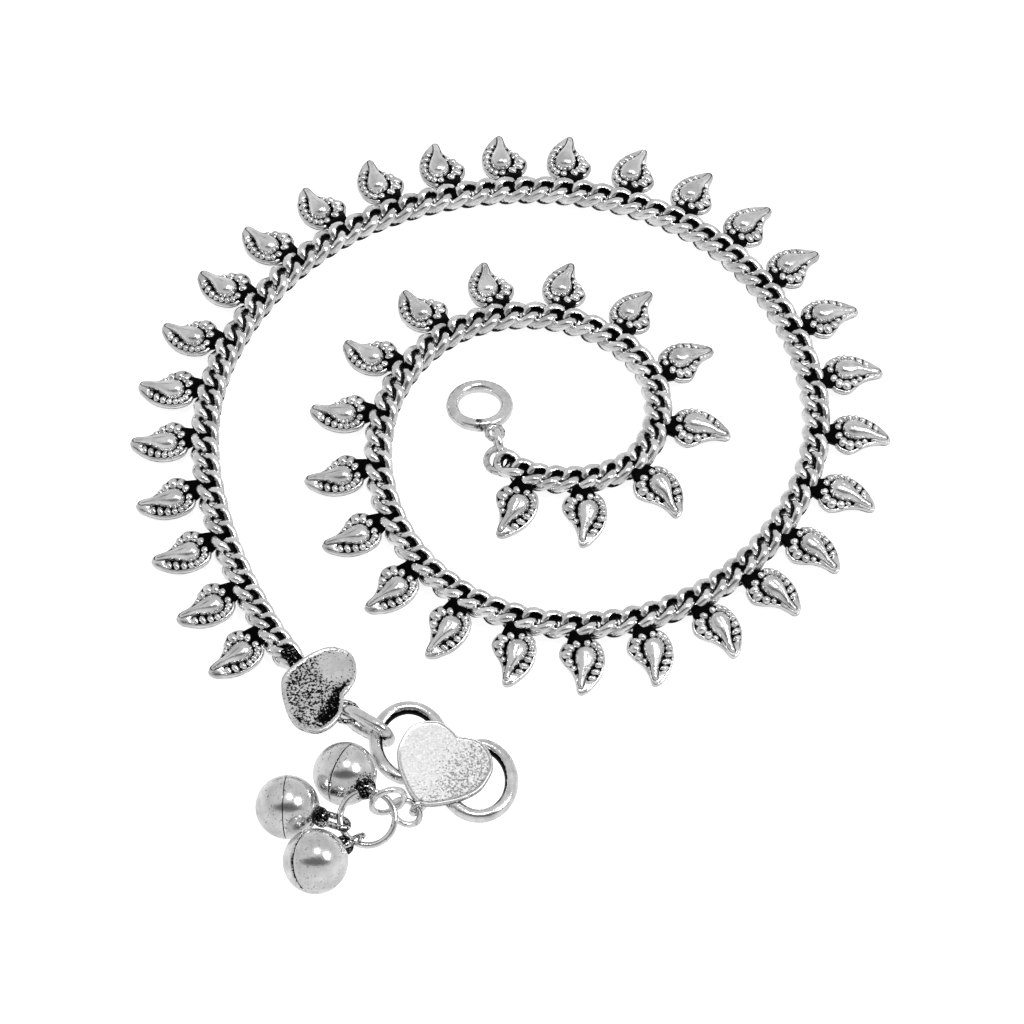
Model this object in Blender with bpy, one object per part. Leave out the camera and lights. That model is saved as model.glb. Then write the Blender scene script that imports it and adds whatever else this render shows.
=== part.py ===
"""Charm anklet, laid open in a loose spiral as it rests on a table.

A curb chain carries a leaf-shaped charm on every third link. Its outer end has a heart plate,
an oval ring and an S-shaped hook with a drop of three bells. Its inner end has the closing ring.
Sizes are in millimetres; +X is right, +Y is back and +Z is up from the surface it lies on.
"""

import math

import bmesh
import bpy
import numpy as np
from mathutils import Matrix, Vector

MM = 0.001

# Clearance between separate pieces
CLEARANCE = 0.3

# Curb chain
CHAIN_WIDTH = 2.3
CHAIN_THICKNESS = 1.5
CHAIN_HEIGHT = 1.6
CHAIN_START = 0.42
CHAIN_SPLIT = 22.5
CHAIN_END = 43.25

# Centre of the chain in plan. Each row is the charm number it belongs to, x and y.
ROUTE = [
    (0.3, -19.7, -16.2),
    (1.0, -21.3, -13.6),
    (3.0, -25.5, -3.9),
    (5.0, -27.4, 6.9),
    (7.0, -25.3, 17.0),
    (9.0, -19.2, 26.1),
    (11.0, -10.4, 31.9),
    (13.0, 0.0, 34.2),
    (15.0, 10.3, 32.8),
    (17.0, 19.2, 27.5),
    (19.0, 25.1, 18.6),
    (21.0, 27.1, 7.4),
    (23.0, 23.4, -3.0),
    (25.0, 16.0, -10.3),
    (27.0, 5.9, -13.1),
    (29.0, -4.1, -10.1),
    (31.0, -10.6, -1.8),
    (33.0, -11.5, 9.3),
    (35.0, -5.7, 18.2),
    (37.0, 4.3, 19.9),
    (39.0, 12.4, 13.5),
    (41.0, 10.6, 4.2),
    (43.0, 1.4, 3.0),
    (43.7, -0.8, 4.5),
]

# Charm
CHARM_LENGTH = 5.2
CHARM_WIDTH = 4.05
CHARM_DROOP_DEG = 11.1
CHARM_BACK_DEPTH = 0.28
CHARM_RIM_HEIGHT = 0.48
CHARM_GROOVE_HEIGHT = 0.52
CHARM_BEAD_HEIGHT = 0.85
CHARM_SHOULDER_HEIGHT = 1.15
CHARM_DOME_HEIGHT = 1.45
NECK_LENGTH = 0.2
NECK_WIDTH = 1.7

# How far each charm is turned on its neck, in degrees, from the heart plate to the inner end.
# A positive turn swings the tip ahead along the chain.
CHARM_TURNS_DEG = [
    -7, 0, 4, 0, 4, 0, 3, 3, -2, 0, 1, -1, -7, -6, 0, 0, -1, -3, 1, 2, 1, 2,
    7, -4, 0, 7, 2, -4, -1, -1, 3, 0, 1, 1, -2, -3, -2, -5, -8, 0, 6, 9, 6,
]

# Shares of the charm's length and width, from root to tip, for its outline and for its dome.
# The convex side faces back along the chain and the hollow side is the one the tip bends to.
CHARM_SECTIONS = [
    {"along": 0.03, "convex": 0.30, "hollow": 0.30, "dome_along": 0.20, "dome_convex": 0.18, "dome_hollow": 0.02},
    {"along": 0.13, "convex": 0.45, "hollow": 0.44, "dome_along": 0.25, "dome_convex": 0.27, "dome_hollow": 0.09},
    {"along": 0.27, "convex": 0.495, "hollow": 0.495, "dome_along": 0.34, "dome_convex": 0.33, "dome_hollow": 0.13},
    {"along": 0.41, "convex": 0.50, "hollow": 0.41, "dome_along": 0.44, "dome_convex": 0.32, "dome_hollow": 0.13},
    {"along": 0.55, "convex": 0.475, "hollow": 0.28, "dome_along": 0.54, "dome_convex": 0.26, "dome_hollow": 0.12},
    {"along": 0.69, "convex": 0.41, "hollow": 0.20, "dome_along": 0.66, "dome_convex": 0.19, "dome_hollow": 0.11},
    {"along": 0.82, "convex": 0.30, "hollow": 0.16, "dome_along": 0.78, "dome_convex": 0.12, "dome_hollow": 0.10},
    {"along": 0.93, "convex": 0.165, "hollow": 0.12, "dome_along": 0.87, "dome_convex": 0.07, "dome_hollow": 0.07},
]
DOME_ROOT_SHARE = 0.18
DOME_ROOT_ASIDE = -0.08
DOME_TAIL_SHARE = 0.92
DOME_PEAK_ALONG = 0.41
DOME_PEAK_ASIDE = -0.10
DOME_TAIL_FALL = 0.7

# How far each loop of the charm's face lies from the outline towards the dome, and up the dome
BEAD_SHARE = 0.45
FOOT_SHARE = 0.88
DOME_SHOULDER_SHARE = 0.2
DOME_TOP_SHARE = 0.6

# Heart plates. Each row is a share of the length from the point and a share of the half width.
HEART_SECTIONS = [
    {"along": 0.05, "aside": 0.25},
    {"along": 0.15, "aside": 0.50},
    {"along": 0.28, "aside": 0.75},
    {"along": 0.45, "aside": 0.95},
    {"along": 0.62, "aside": 1.00},
    {"along": 0.78, "aside": 0.97},
    {"along": 0.90, "aside": 0.82},
    {"along": 0.98, "aside": 0.60},
    {"along": 1.00, "aside": 0.40},
    {"along": 0.97, "aside": 0.15},
]
HEART_CLEFT_SHARE = 0.94
HEART_THICKNESS = 0.5

END_HEART_LENGTH = 6.1
END_HEART_WIDTH = 9.0
END_HEART_POINT = (-20.1, -19.35)
END_HEART_TURN_DEG = -18.3
END_HEART_UNDERSIDE = 2.4
END_EYE_WIRE = 0.25
END_EYE_STRETCH = 1.15
EYE_CLEARANCE = 0.2
END_TONGUE_LENGTH = 2.6
END_TONGUE_WIDTH = 1.4

# Oval jump ring, standing on edge
OVAL_RING_WIRE = 0.53
OVAL_RING_HALF_HEIGHT = 1.45
OVAL_RING_LEAN_DEG = 8.0
OVAL_RING_FAR = (-14.2, -22.8)
OVAL_RING_NEAR = (-10.7, -25.1)

# S-shaped hook. It leans: its back end is lifted by the oval ring that it passes through.
HOOK_WIRE = 0.575
HOOK_LOOP_HALF_WIDTH = 2.95
HOOK_LOOP_HALF_DEPTH = 3.45
HOOK_LEFT_LOOP = (-8.95, -25.45)
HOOK_RIGHT_LOOP = (-2.87, -28.9)
HOOK_SLOPE = 0.116
HOOK_RISE_TOWARDS = (-0.5, 0.87)
HOOK_LOW_POINT = (-1.65, -32.2)
HOOK_HEART_LENGTH = 7.9
HOOK_HEART_WIDTH = 8.36
HOOK_HEART_POINT = (-8.06, -31.75)
HOOK_HEART_TURN_DEG = 63.1
HOOK_HEART_SINK = 0.12
DROP_EYE_CENTRE = (-8.15, -31.75, 1.15)
DROP_EYE_RADIUS = 0.72
DROP_EYE_WIRE = 0.2

# Bell drop
BELL_LINK_WIRE = 0.25
BELL_LINK_1_CENTRE = (-9.2, -32.55, 1.7)
BELL_LINK_1_RADIUS = 1.3
BELL_LINK_1_SLOPE = (-0.42, -0.087)
BELL_LINK_2_CENTRE = (-10.74, -32.2, 2.95)
BELL_LINK_2_RADIUS = 1.5
BELL_LINK_2_LONG = (-0.38, -0.04, 0.92)
BELL_LINK_2_NORMAL = (-0.32, 0.94, -0.09)
BELL_RING_CENTRE = (-12.5, -33.9, 2.9)
BELL_RING_RADIUS = 2.38
BELL_RING_WIRE = 0.285
BELL_RING_TILT_DEG = 25.0
BELL_WALL = 0.4
BELL_SLIT = 0.25
BELL_EYELET_WIRE = 0.26
BELL_EYELET_GAP = 0.15
BELL_EYELET_FOOT_SHARE = 0.6

# Each bell: turn of the bell ring where its eyelet sits, the way in plan from there to its centre,
# its radius, the seam plane's normal and the side of the seam that is open
BELLS = [
    {"ring_turn_deg": 132.0, "from_ring": (-0.41, 3.0), "radius": 2.8,
     "seam_normal": (0.87, -0.47, 0.14), "open_side": (-0.35, -0.41, 0.84)},
    {"ring_turn_deg": 172.0, "from_ring": (-4.59, 0.9), "radius": 2.8,
     "seam_normal": (0.99, -0.08, 0.10), "open_side": (-0.14, -0.56, 0.82)},
    {"ring_turn_deg": 212.0, "from_ring": (-2.43, -3.21), "radius": 2.85,
     "seam_normal": (0.72, -0.39, 0.58), "open_side": (-0.70, -0.40, 0.59)},
]

# Inner end
END_RING_CENTRE = (-2.9, 10.8)
END_RING_RADIUS = 2.44
END_RING_WIRE = 0.585
END_RING_TILT_DEG = 9.5
END_LINK_WIRE = 0.24
END_LINK_1_CENTRE = (-1.25, 6.37, 1.46)
END_LINK_1_RADIUS = 1.2
END_LINK_1_TOWARDS = (0.23, -0.97, 0.0)
END_LINK_2_CENTRE = (-1.23, 4.68, 1.3)
END_LINK_2_HALF_WIDTH = 1.05
END_LINK_2_HALF_DEPTH = 1.25
RING_EYE_RADIUS = 0.72
RING_EYE_WIRE = 0.22

# Middle of the whole object in plan, which the origin lies under
PLAN_CENTRE = (-0.16, -0.12)

UP = Vector((0.0, 0.0, 1.0))
RIGHT = Vector((1.0, 0.0, 0.0))


def clear_scene():
    for old in list(bpy.data.objects):
        bpy.data.objects.remove(old)


def metal(name, colour, roughness):
    made = bpy.data.materials.new(name)
    made.use_nodes = True
    shader = made.node_tree.nodes["Principled BSDF"]
    shader.inputs["Base Color"].default_value = (*colour, 1.0)
    shader.inputs["Roughness"].default_value = roughness
    shader.inputs["Metallic"].default_value = 1.0
    return made


def add_object(name, data, material):
    if material is not None:
        data.materials.append(material)
    piece = bpy.data.objects.new(name, data)
    bpy.context.scene.collection.objects.link(piece)
    return piece


def smooth(mesh, angle_deg=40.0):
    mesh.shade_smooth()
    mesh.set_sharp_from_angle(angle=math.radians(angle_deg))


def finished_mesh(name, shape):
    bmesh.ops.recalc_face_normals(shape, faces=shape.faces)
    mesh = bpy.data.meshes.new(name)
    shape.to_mesh(mesh)
    shape.free()
    smooth(mesh)
    return mesh


def curve_of(name, points, radius, closed, resolution):
    """A round wire along points in millimetres, as a curve with a bevel."""
    curve = bpy.data.curves.new(name, "CURVE")
    curve.dimensions = "3D"
    curve.resolution_u = 1
    curve.bevel_depth = radius * MM
    curve.bevel_resolution = resolution
    curve.use_fill_caps = not closed
    spline = curve.splines.new("POLY")
    spline.points.add(len(points) - 1)
    for place, point in zip(spline.points, points):
        place.co = (*(Vector(point) * MM), 1.0)
    spline.use_cyclic_u = closed
    return curve


def wire_mesh(name, points, radius, closed, resolution):
    """The same wire as a mesh, so that other solids can be joined to it."""
    holder = bpy.data.objects.new(name, curve_of(name, points, radius, closed, resolution))
    bpy.context.scene.collection.objects.link(holder)
    shape = bmesh.new()
    shape.from_mesh(bpy.data.meshes.new_from_object(holder))
    bpy.data.objects.remove(holder)
    bmesh.ops.remove_doubles(shape, verts=shape.verts, dist=0.001 * MM)
    return finished_mesh(name, shape)


def ellipse_points(centre, axis_a, axis_b, half_a, half_b, count):
    centre, axis_a, axis_b = Vector(centre), Vector(axis_a), Vector(axis_b)
    turns = [2.0 * math.pi * i / count for i in range(count)]
    return [centre + axis_a * (half_a * math.cos(t)) + axis_b * (half_b * math.sin(t)) for t in turns]


def stadium_points(start, end, side, half_width, count):
    """Two straight runs between round ends centred on start and end."""
    start, end, side = Vector(start), Vector(end), Vector(side)
    along = (end - start).normalized()
    points = []
    for centre, first in ((end, -0.5), (start, 0.5)):
        for i in range(count + 1):
            turn = math.pi * (first + i / count)
            points.append(centre + along * (half_width * math.cos(turn)) + side * (half_width * math.sin(turn)))
    return points


def join_by(piece, operand, operation):
    """Joins or cuts piece with operand, which itself isn't part of the object."""
    operand.hide_render = True
    operand.display_type = "WIRE"
    change = piece.modifiers.new(operand.name, "BOOLEAN")
    change.operation = operation
    change.solver = "EXACT"
    change.object = operand


class Route:
    """The chain's centre line in plan: a smooth curve through the chosen points."""

    def __init__(self, rows):
        table = np.array(rows)
        self.knots = table[:, 0]
        self.values = table[:, 1:]
        count = len(self.knots)
        steps = np.diff(self.knots)
        left = np.zeros((count, count))
        right = np.zeros((count, 2))
        left[0, :2] = (1.0, -1.0)
        left[-1, -2:] = (-1.0, 1.0)
        for i in range(1, count - 1):
            left[i, i - 1:i + 2] = (steps[i - 1], 2.0 * (steps[i - 1] + steps[i]), steps[i])
            after = (self.values[i + 1] - self.values[i]) / steps[i]
            before = (self.values[i] - self.values[i - 1]) / steps[i - 1]
            right[i] = 6.0 * (after - before)
        self.bends = np.linalg.solve(left, right)

    def point(self, number):
        i = int(np.clip(np.searchsorted(self.knots, number, side="right") - 1, 0, len(self.knots) - 2))
        span = self.knots[i + 1] - self.knots[i]
        ahead = (self.knots[i + 1] - number) / span
        behind = 1.0 - ahead
        bend = (ahead ** 3 - ahead) * self.bends[i] + (behind ** 3 - behind) * self.bends[i + 1]
        place = ahead * self.values[i] + behind * self.values[i + 1] + bend * span ** 2 / 6.0
        return Vector((place[0], place[1], 0.0))

    def heading(self, number):
        step = 0.01
        return (self.point(number + step) - self.point(number - step)).normalized()


def build_chain(route, name, first, last, material):
    """One length of the chain, as a flattened tube with a point at each charm."""
    numbers = [first, *range(math.ceil(first + 0.2), math.floor(last - 0.2) + 1), last]
    points = [route.point(number) for number in numbers]
    piece = add_object(name, curve_of(name, points, CHAIN_WIDTH / 2, False, 3), material)
    piece.scale.z = CHAIN_THICKNESS / CHAIN_WIDTH
    piece.location.z = CHAIN_HEIGHT * MM


def charm_place(aside, along, height=0.0):
    """A point of a charm lying flat, from shares of its width and length."""
    root = CHAIN_WIDTH / 2 + CLEARANCE + NECK_LENGTH
    return Vector((aside * CHARM_WIDTH, root + along * CHARM_LENGTH, height))


def charm_loop(prefix, root, tip):
    """The stations round the charm: root, convex side, tip, hollow side."""
    there = [(-row[prefix + "convex"], row[prefix + "along"]) for row in CHARM_SECTIONS]
    back = [(row[prefix + "hollow"], row[prefix + "along"]) for row in reversed(CHARM_SECTIONS)]
    return [charm_place(aside, along) for aside, along in (root, *there, tip, *back)]


def charm_mesh(turn_deg):
    """A charm lying flat: x along the chain, y outward from the chain's centre, z up."""
    outline = charm_loop("", (0.0, 0.0), (0.0, 1.0))
    dome = charm_loop("dome_", (DOME_ROOT_ASIDE, DOME_ROOT_SHARE), (0.0, DOME_TAIL_SHARE))
    peak = charm_place(DOME_PEAK_ASIDE, DOME_PEAK_ALONG)
    count = len(outline)
    beads = [CHARM_BEAD_HEIGHT if i % 2 else CHARM_GROOVE_HEIGHT for i in range(count)]
    falls = [max(0.0, point.y - peak.y) / CHARM_LENGTH * DOME_TAIL_FALL for point in dome]
    loops = [
        [point.copy() for point in outline],
        [point + UP * CHARM_RIM_HEIGHT for point in outline],
        [a.lerp(b, BEAD_SHARE) + UP * z for a, b, z in zip(outline, dome, beads)],
        [a.lerp(b, FOOT_SHARE) + UP * CHARM_GROOVE_HEIGHT for a, b in zip(outline, dome)],
        [a.lerp(peak, DOME_SHOULDER_SHARE) + UP * (CHARM_SHOULDER_HEIGHT - fall) for a, fall in zip(dome, falls)],
        [point.lerp(peak, DOME_TOP_SHARE) + UP * CHARM_DOME_HEIGHT for point in dome],
    ]
    root = charm_place(0.0, 0.0)
    turn = Matrix.Rotation(-math.radians(turn_deg), 3, "Z")
    shape = bmesh.new()
    rings = [
        [shape.verts.new(root + turn @ (point - root) - UP * CHARM_BACK_DEPTH) for point in loop]
        for loop in loops
    ]
    shape.faces.new(rings[0])
    shape.faces.new(rings[-1])
    for lower, upper in zip(rings, rings[1:]):
        for i in range(count):
            j = (i + 1) % count
            shape.faces.new((lower[i], lower[j], upper[j], upper[i]))
    draw_neck(shape, rings)
    for vert in shape.verts:
        vert.co *= MM
    return finished_mesh("paisley_charm", shape)


def draw_neck(shape, rings):
    """Extrudes the two wall faces at the charm's root towards the chain, to a flat end."""
    root = {rings[0][0], rings[1][0]}
    walls = [face for face in shape.faces if root <= set(face.verts) and len(face.verts) == 4]
    shape.normal_update()
    grown = bmesh.ops.extrude_face_region(shape, geom=walls)
    bmesh.ops.delete(shape, geom=walls, context="FACES")
    inner = CHAIN_WIDTH / 2 + CLEARANCE
    for vert in (item for item in grown["geom"] if isinstance(item, bmesh.types.BMVert)):
        vert.co.y = inner
        if abs(vert.co.x) > NECK_WIDTH / 4:
            vert.co.x = math.copysign(NECK_WIDTH / 2, vert.co.x)


def build_charms(route, material):
    droop = Matrix.Rotation(-math.radians(CHARM_DROOP_DEG), 4, "X")
    for number, turn_deg in enumerate(CHARM_TURNS_DEG, start=1):
        heading = route.heading(number)
        turn = Matrix.Rotation(math.atan2(heading.y, heading.x), 4, "Z")
        place = Matrix.Translation((route.point(number) + UP * CHAIN_HEIGHT) * MM)
        piece = add_object(f"paisley_charm_{number:02d}", charm_mesh(turn_deg), material)
        piece.matrix_world = place @ turn @ droop


def heart_mesh(name, point, turn_deg, length, width, underside):
    """A heart plate; underside gives its lower face's height at a place in plan."""
    turn = math.radians(turn_deg)
    along = Vector((math.cos(turn), math.sin(turn), 0.0))
    aside = Vector((-along.y, along.x, 0.0))
    left = [(row["along"], row["aside"]) for row in HEART_SECTIONS]
    right = [(row["along"], -row["aside"]) for row in reversed(HEART_SECTIONS)]
    shares = [(0.0, 0.0), *left, (HEART_CLEFT_SHARE, 0.0), *right]
    start = Vector((*point, 0.0))
    outline = [start + along * (a * length) + aside * (b * width / 2) for a, b in shares]
    shape = bmesh.new()
    low = [shape.verts.new(p + UP * underside(p)) for p in outline]
    high = [shape.verts.new(p + UP * (underside(p) + HEART_THICKNESS)) for p in outline]
    shape.faces.new(low)
    shape.faces.new(high)
    for i in range(len(low)):
        j = (i + 1) % len(low)
        shape.faces.new((low[i], low[j], high[j], high[i]))
    for vert in shape.verts:
        vert.co *= MM
    return finished_mesh(name, shape)


def end_heart_underside(_place):
    return END_HEART_UNDERSIDE


def build_end_heart(route, material):
    """The plate over the chain's outer end, with a tongue down to the chain and an eye for the ring."""
    mesh = heart_mesh("heart_end_plate", END_HEART_POINT, END_HEART_TURN_DEG,
                      END_HEART_LENGTH, END_HEART_WIDTH, end_heart_underside)
    piece = add_object("heart_end_plate", mesh, material)

    far = Vector((*OVAL_RING_FAR, END_HEART_UNDERSIDE - END_EYE_WIRE / 2))
    along = (Vector(OVAL_RING_NEAR) - Vector(OVAL_RING_FAR)).normalized().to_3d()
    radius = OVAL_RING_WIRE + EYE_CLEARANCE + END_EYE_WIRE
    eye = wire_mesh("end_eye", ellipse_points(far, along, UP.cross(along), radius * END_EYE_STRETCH, radius, 12),
                    END_EYE_WIRE, True, 1)
    join_by(piece, add_object("end_eye", eye, None), "UNION")

    heading = -route.heading(CHAIN_START)
    face = route.point(CHAIN_START) + heading * CLEARANCE
    low = CHAIN_HEIGHT - CHAIN_THICKNESS / 2 + CLEARANCE
    high = END_HEART_UNDERSIDE + HEART_THICKNESS / 2
    shape = bmesh.new()
    bmesh.ops.create_cube(shape, size=1.0)
    size = Vector((END_TONGUE_LENGTH, END_TONGUE_WIDTH, high - low))
    bmesh.ops.scale(shape, vec=size * MM, verts=shape.verts)
    tongue = add_object("end_tongue", finished_mesh("end_tongue", shape), None)
    middle = face + heading * (END_TONGUE_LENGTH / 2) + UP * ((low + high) / 2)
    tongue.matrix_world = Matrix.Translation(middle * MM) @ Matrix.Rotation(math.atan2(heading.y, heading.x), 4, "Z")
    join_by(piece, tongue, "UNION")


def build_oval_ring(material):
    lean = math.radians(OVAL_RING_LEAN_DEG)
    height = OVAL_RING_HALF_HEIGHT * math.cos(lean) + OVAL_RING_WIRE
    far = Vector((*OVAL_RING_FAR, height))
    near = Vector((*OVAL_RING_NEAR, height))
    along = (near - far).normalized()
    inset = along * OVAL_RING_HALF_HEIGHT
    upright = UP * math.cos(lean) + along.cross(UP) * math.sin(lean)
    points = stadium_points(far + inset, near - inset, upright, OVAL_RING_HALF_HEIGHT, 7)
    add_object("oval_jump_ring", wire_mesh("oval_jump_ring", points, OVAL_RING_WIRE, True, 2), material)


def hook_height(place):
    """Height of the hook's wire centre at a place in plan."""
    towards = Vector(HOOK_RISE_TOWARDS)
    travel = Vector((place[0], place[1])) - Vector(HOOK_LOW_POINT)
    return HOOK_WIRE + HOOK_SLOPE * travel.dot(towards)


def hook_heart_underside(place):
    return hook_height(place) + HOOK_WIRE - HOOK_HEART_SINK


def hook_points():
    """The S: round the left loop, across the middle and round the right loop."""
    left = [(HOOK_LEFT_LOOP, 25.0 + 240.0 * i / 12) for i in range(13)]
    right = [(HOOK_RIGHT_LOOP, 85.0 - 240.0 * i / 12) for i in range(13)]
    points = []
    for centre, turn_deg in (*left, *right):
        turn = math.radians(turn_deg)
        x = centre[0] + HOOK_LOOP_HALF_WIDTH * math.cos(turn)
        y = centre[1] + HOOK_LOOP_HALF_DEPTH * math.sin(turn)
        points.append(Vector((x, y, hook_height((x, y)))))
    return points


def build_hook(material):
    """The S-shaped hook with its heart plate and the eye for the bell drop."""
    piece = add_object("s_hook_clasp", wire_mesh("s_hook_clasp", hook_points(), HOOK_WIRE, False, 2), material)
    heart = heart_mesh("hook_heart", HOOK_HEART_POINT, HOOK_HEART_TURN_DEG,
                       HOOK_HEART_LENGTH, HOOK_HEART_WIDTH, hook_heart_underside)
    join_by(piece, add_object("hook_heart", heart, None), "UNION")
    spoke = (Vector(DROP_EYE_CENTRE) - Vector(BELL_LINK_1_CENTRE))
    spoke.z = 0.0
    eye = wire_mesh("drop_eye", ellipse_points(DROP_EYE_CENTRE, spoke.normalized(), UP, DROP_EYE_RADIUS,
                                               DROP_EYE_RADIUS, 12), DROP_EYE_WIRE, True, 1)
    join_by(piece, add_object("drop_eye", eye, None), "UNION")


def bell_ring_axes():
    tilt = math.radians(BELL_RING_TILT_DEG)
    return RIGHT, Vector((0.0, math.cos(tilt), math.sin(tilt)))


def build_bell_links(material):
    slope = Vector((*BELL_LINK_1_SLOPE, 0.0))
    axis_a = Vector((1.0, 0.0, slope.x)).normalized()
    normal = Vector((-slope.x, -slope.y, 1.0)).normalized()
    axis_b = normal.cross(axis_a)
    points = ellipse_points(BELL_LINK_1_CENTRE, axis_a, axis_b, BELL_LINK_1_RADIUS, BELL_LINK_1_RADIUS, 14)
    add_object("bell_link_1", wire_mesh("bell_link_1", points, BELL_LINK_WIRE, True, 1), material)

    axis_a = Vector(BELL_LINK_2_LONG).normalized()
    axis_b = Vector(BELL_LINK_2_NORMAL).cross(axis_a).normalized()
    points = ellipse_points(BELL_LINK_2_CENTRE, axis_a, axis_b, BELL_LINK_2_RADIUS, BELL_LINK_2_RADIUS, 14)
    add_object("bell_link_2", wire_mesh("bell_link_2", points, BELL_LINK_WIRE, True, 1), material)

    points = ellipse_points(BELL_RING_CENTRE, *bell_ring_axes(), BELL_RING_RADIUS, BELL_RING_RADIUS, 20)
    add_object("bell_ring", wire_mesh("bell_ring", points, BELL_RING_WIRE, True, 1), material)


def sphere_mesh(name, radius, segments, rings):
    shape = bmesh.new()
    bmesh.ops.create_uvsphere(shape, u_segments=segments, v_segments=rings, radius=radius * MM)
    return finished_mesh(name, shape)


def build_bell(number, row, material):
    """A hollow bell with a slit along its seam and an eyelet round the bell ring."""
    name = f"bell_{number}"
    radius = row["radius"]
    axis_a, axis_b = bell_ring_axes()
    turn = math.radians(row["ring_turn_deg"])
    ring_point = Vector(BELL_RING_CENTRE) + (axis_a * math.cos(turn) + axis_b * math.sin(turn)) * BELL_RING_RADIUS
    aside, away = row["from_ring"]
    centre = Vector((ring_point.x + aside, ring_point.y + away, radius))
    ring_heading = axis_b * math.cos(turn) - axis_a * math.sin(turn)
    reach = (ring_point - centre).normalized()

    piece = add_object(name, sphere_mesh(name, radius, 16, 9), material)
    piece.matrix_world = Matrix.Translation(centre * MM) @ UP.rotation_difference(reach).to_matrix().to_4x4()

    hollow = add_object(f"{name}_hollow", sphere_mesh(f"{name}_hollow", radius - BELL_WALL, 12, 7), None)
    hollow.matrix_world = piece.matrix_world
    join_by(piece, hollow, "DIFFERENCE")

    side = ring_heading.cross(reach).normalized()
    half_width = BELL_RING_WIRE + BELL_EYELET_GAP + BELL_EYELET_WIRE
    first = centre + reach * (radius - BELL_WALL / 2)
    far_half = stadium_points(first, ring_point, side, half_width, 5)[:6]
    foot = side * (half_width * BELL_EYELET_FOOT_SHARE)
    bow = [first - foot, *far_half, first + foot]
    eyelet = wire_mesh(f"{name}_eyelet", bow, BELL_EYELET_WIRE, False, 1)
    join_by(piece, add_object(f"{name}_eyelet", eyelet, None), "UNION")

    normal = Vector(row["seam_normal"]).normalized()
    open_side = Vector(row["open_side"])
    open_side = (open_side - normal * open_side.dot(normal)).normalized()
    across = normal.cross(open_side)
    shape = bmesh.new()
    bmesh.ops.create_cube(shape, size=1.0)
    slab = Vector((radius * 1.5, radius * 1.5, BELL_SLIT)) * MM
    bmesh.ops.scale(shape, vec=slab, verts=shape.verts)
    slit = add_object(f"{name}_slit", finished_mesh(f"{name}_slit", shape), None)
    turned = Matrix((open_side, across, normal)).transposed().to_4x4()
    slit.matrix_world = Matrix.Translation((centre + open_side * radius * 0.95) * MM) @ turned
    join_by(piece, slit, "DIFFERENCE")


def build_inner_end(material):
    """The closing ring with its eye, and the two small rings that join it to the chain."""
    tilt = math.radians(END_RING_TILT_DEG)
    height = END_RING_RADIUS * math.sin(tilt) + END_RING_WIRE
    centre = Vector((*END_RING_CENTRE, height))
    axis_b = Vector((0.0, math.cos(tilt), -math.sin(tilt)))
    points = ellipse_points(centre, RIGHT, axis_b, END_RING_RADIUS, END_RING_RADIUS, 20)
    piece = add_object("end_ring", wire_mesh("end_ring", points, END_RING_WIRE, True, 2), material)

    towards = Vector(END_LINK_1_TOWARDS).normalized()
    link_centre = Vector(END_LINK_1_CENTRE)
    eye_centre = link_centre - towards * (END_LINK_1_RADIUS - 0.05)
    eye = wire_mesh("ring_eye", ellipse_points(eye_centre, RIGHT, Vector((0, 1, 0)), RING_EYE_RADIUS,
                                               RING_EYE_RADIUS, 12), RING_EYE_WIRE, True, 1)
    join_by(piece, add_object("ring_eye", eye, None), "UNION")

    points = ellipse_points(link_centre, towards, UP, END_LINK_1_RADIUS, END_LINK_1_RADIUS, 12)
    add_object("end_link_1", wire_mesh("end_link_1", points, END_LINK_WIRE, True, 1), material)
    points = ellipse_points(END_LINK_2_CENTRE, RIGHT, Vector((0, 1, 0)), END_LINK_2_HALF_WIDTH,
                            END_LINK_2_HALF_DEPTH, 12)
    add_object("end_link_2", wire_mesh("end_link_2", points, END_LINK_WIRE, True, 1), material)


def centre_over_origin():
    """Hangs every piece on one empty, which brings the middle of the object over the origin."""
    holder = bpy.data.objects.new("anklet", None)
    for piece in bpy.data.objects:
        if piece != holder:
            piece.parent = holder
    bpy.context.scene.collection.objects.link(holder)
    holder.location = (-PLAN_CENTRE[0] * MM, -PLAN_CENTRE[1] * MM, 0.0)


def main():
    clear_scene()
    silver = metal("oxidised_silver", (0.62, 0.62, 0.62), 0.3)
    bright = metal("bright_silver", (0.8, 0.8, 0.8), 0.35)
    dark = metal("pitted_silver", (0.35, 0.35, 0.35), 0.5)
    route = Route(ROUTE)
    half_gap = CLEARANCE / 2 / (route.point(CHAIN_SPLIT + 0.5) - route.point(CHAIN_SPLIT - 0.5)).length
    build_chain(route, "curb_chain_outer", CHAIN_START, CHAIN_SPLIT - half_gap, silver)
    build_chain(route, "curb_chain_inner", CHAIN_SPLIT + half_gap, CHAIN_END, silver)
    build_charms(route, silver)
    build_end_heart(route, dark)
    build_oval_ring(silver)
    build_hook(bright)
    build_bell_links(silver)
    for number, row in enumerate(BELLS, start=1):
        build_bell(number, row, silver)
    build_inner_end(silver)
    centre_over_origin()


main()
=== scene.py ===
"""Dresses the charm anklet: linked chain, beaded leaf charms, heart plates, hook, rings and bells.

Shapes are worked out in millimetres in the plan of the chain's route. Each finished mesh is
then shrunk to metres and moved by the route's offset, so that it lies where its solid lies.
"""

import logging
import math
from collections.abc import Callable, Sequence
from dataclasses import dataclass, field
from enum import Enum

import bmesh
import bpy
import numpy as np
from mathutils import Matrix, Vector

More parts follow.
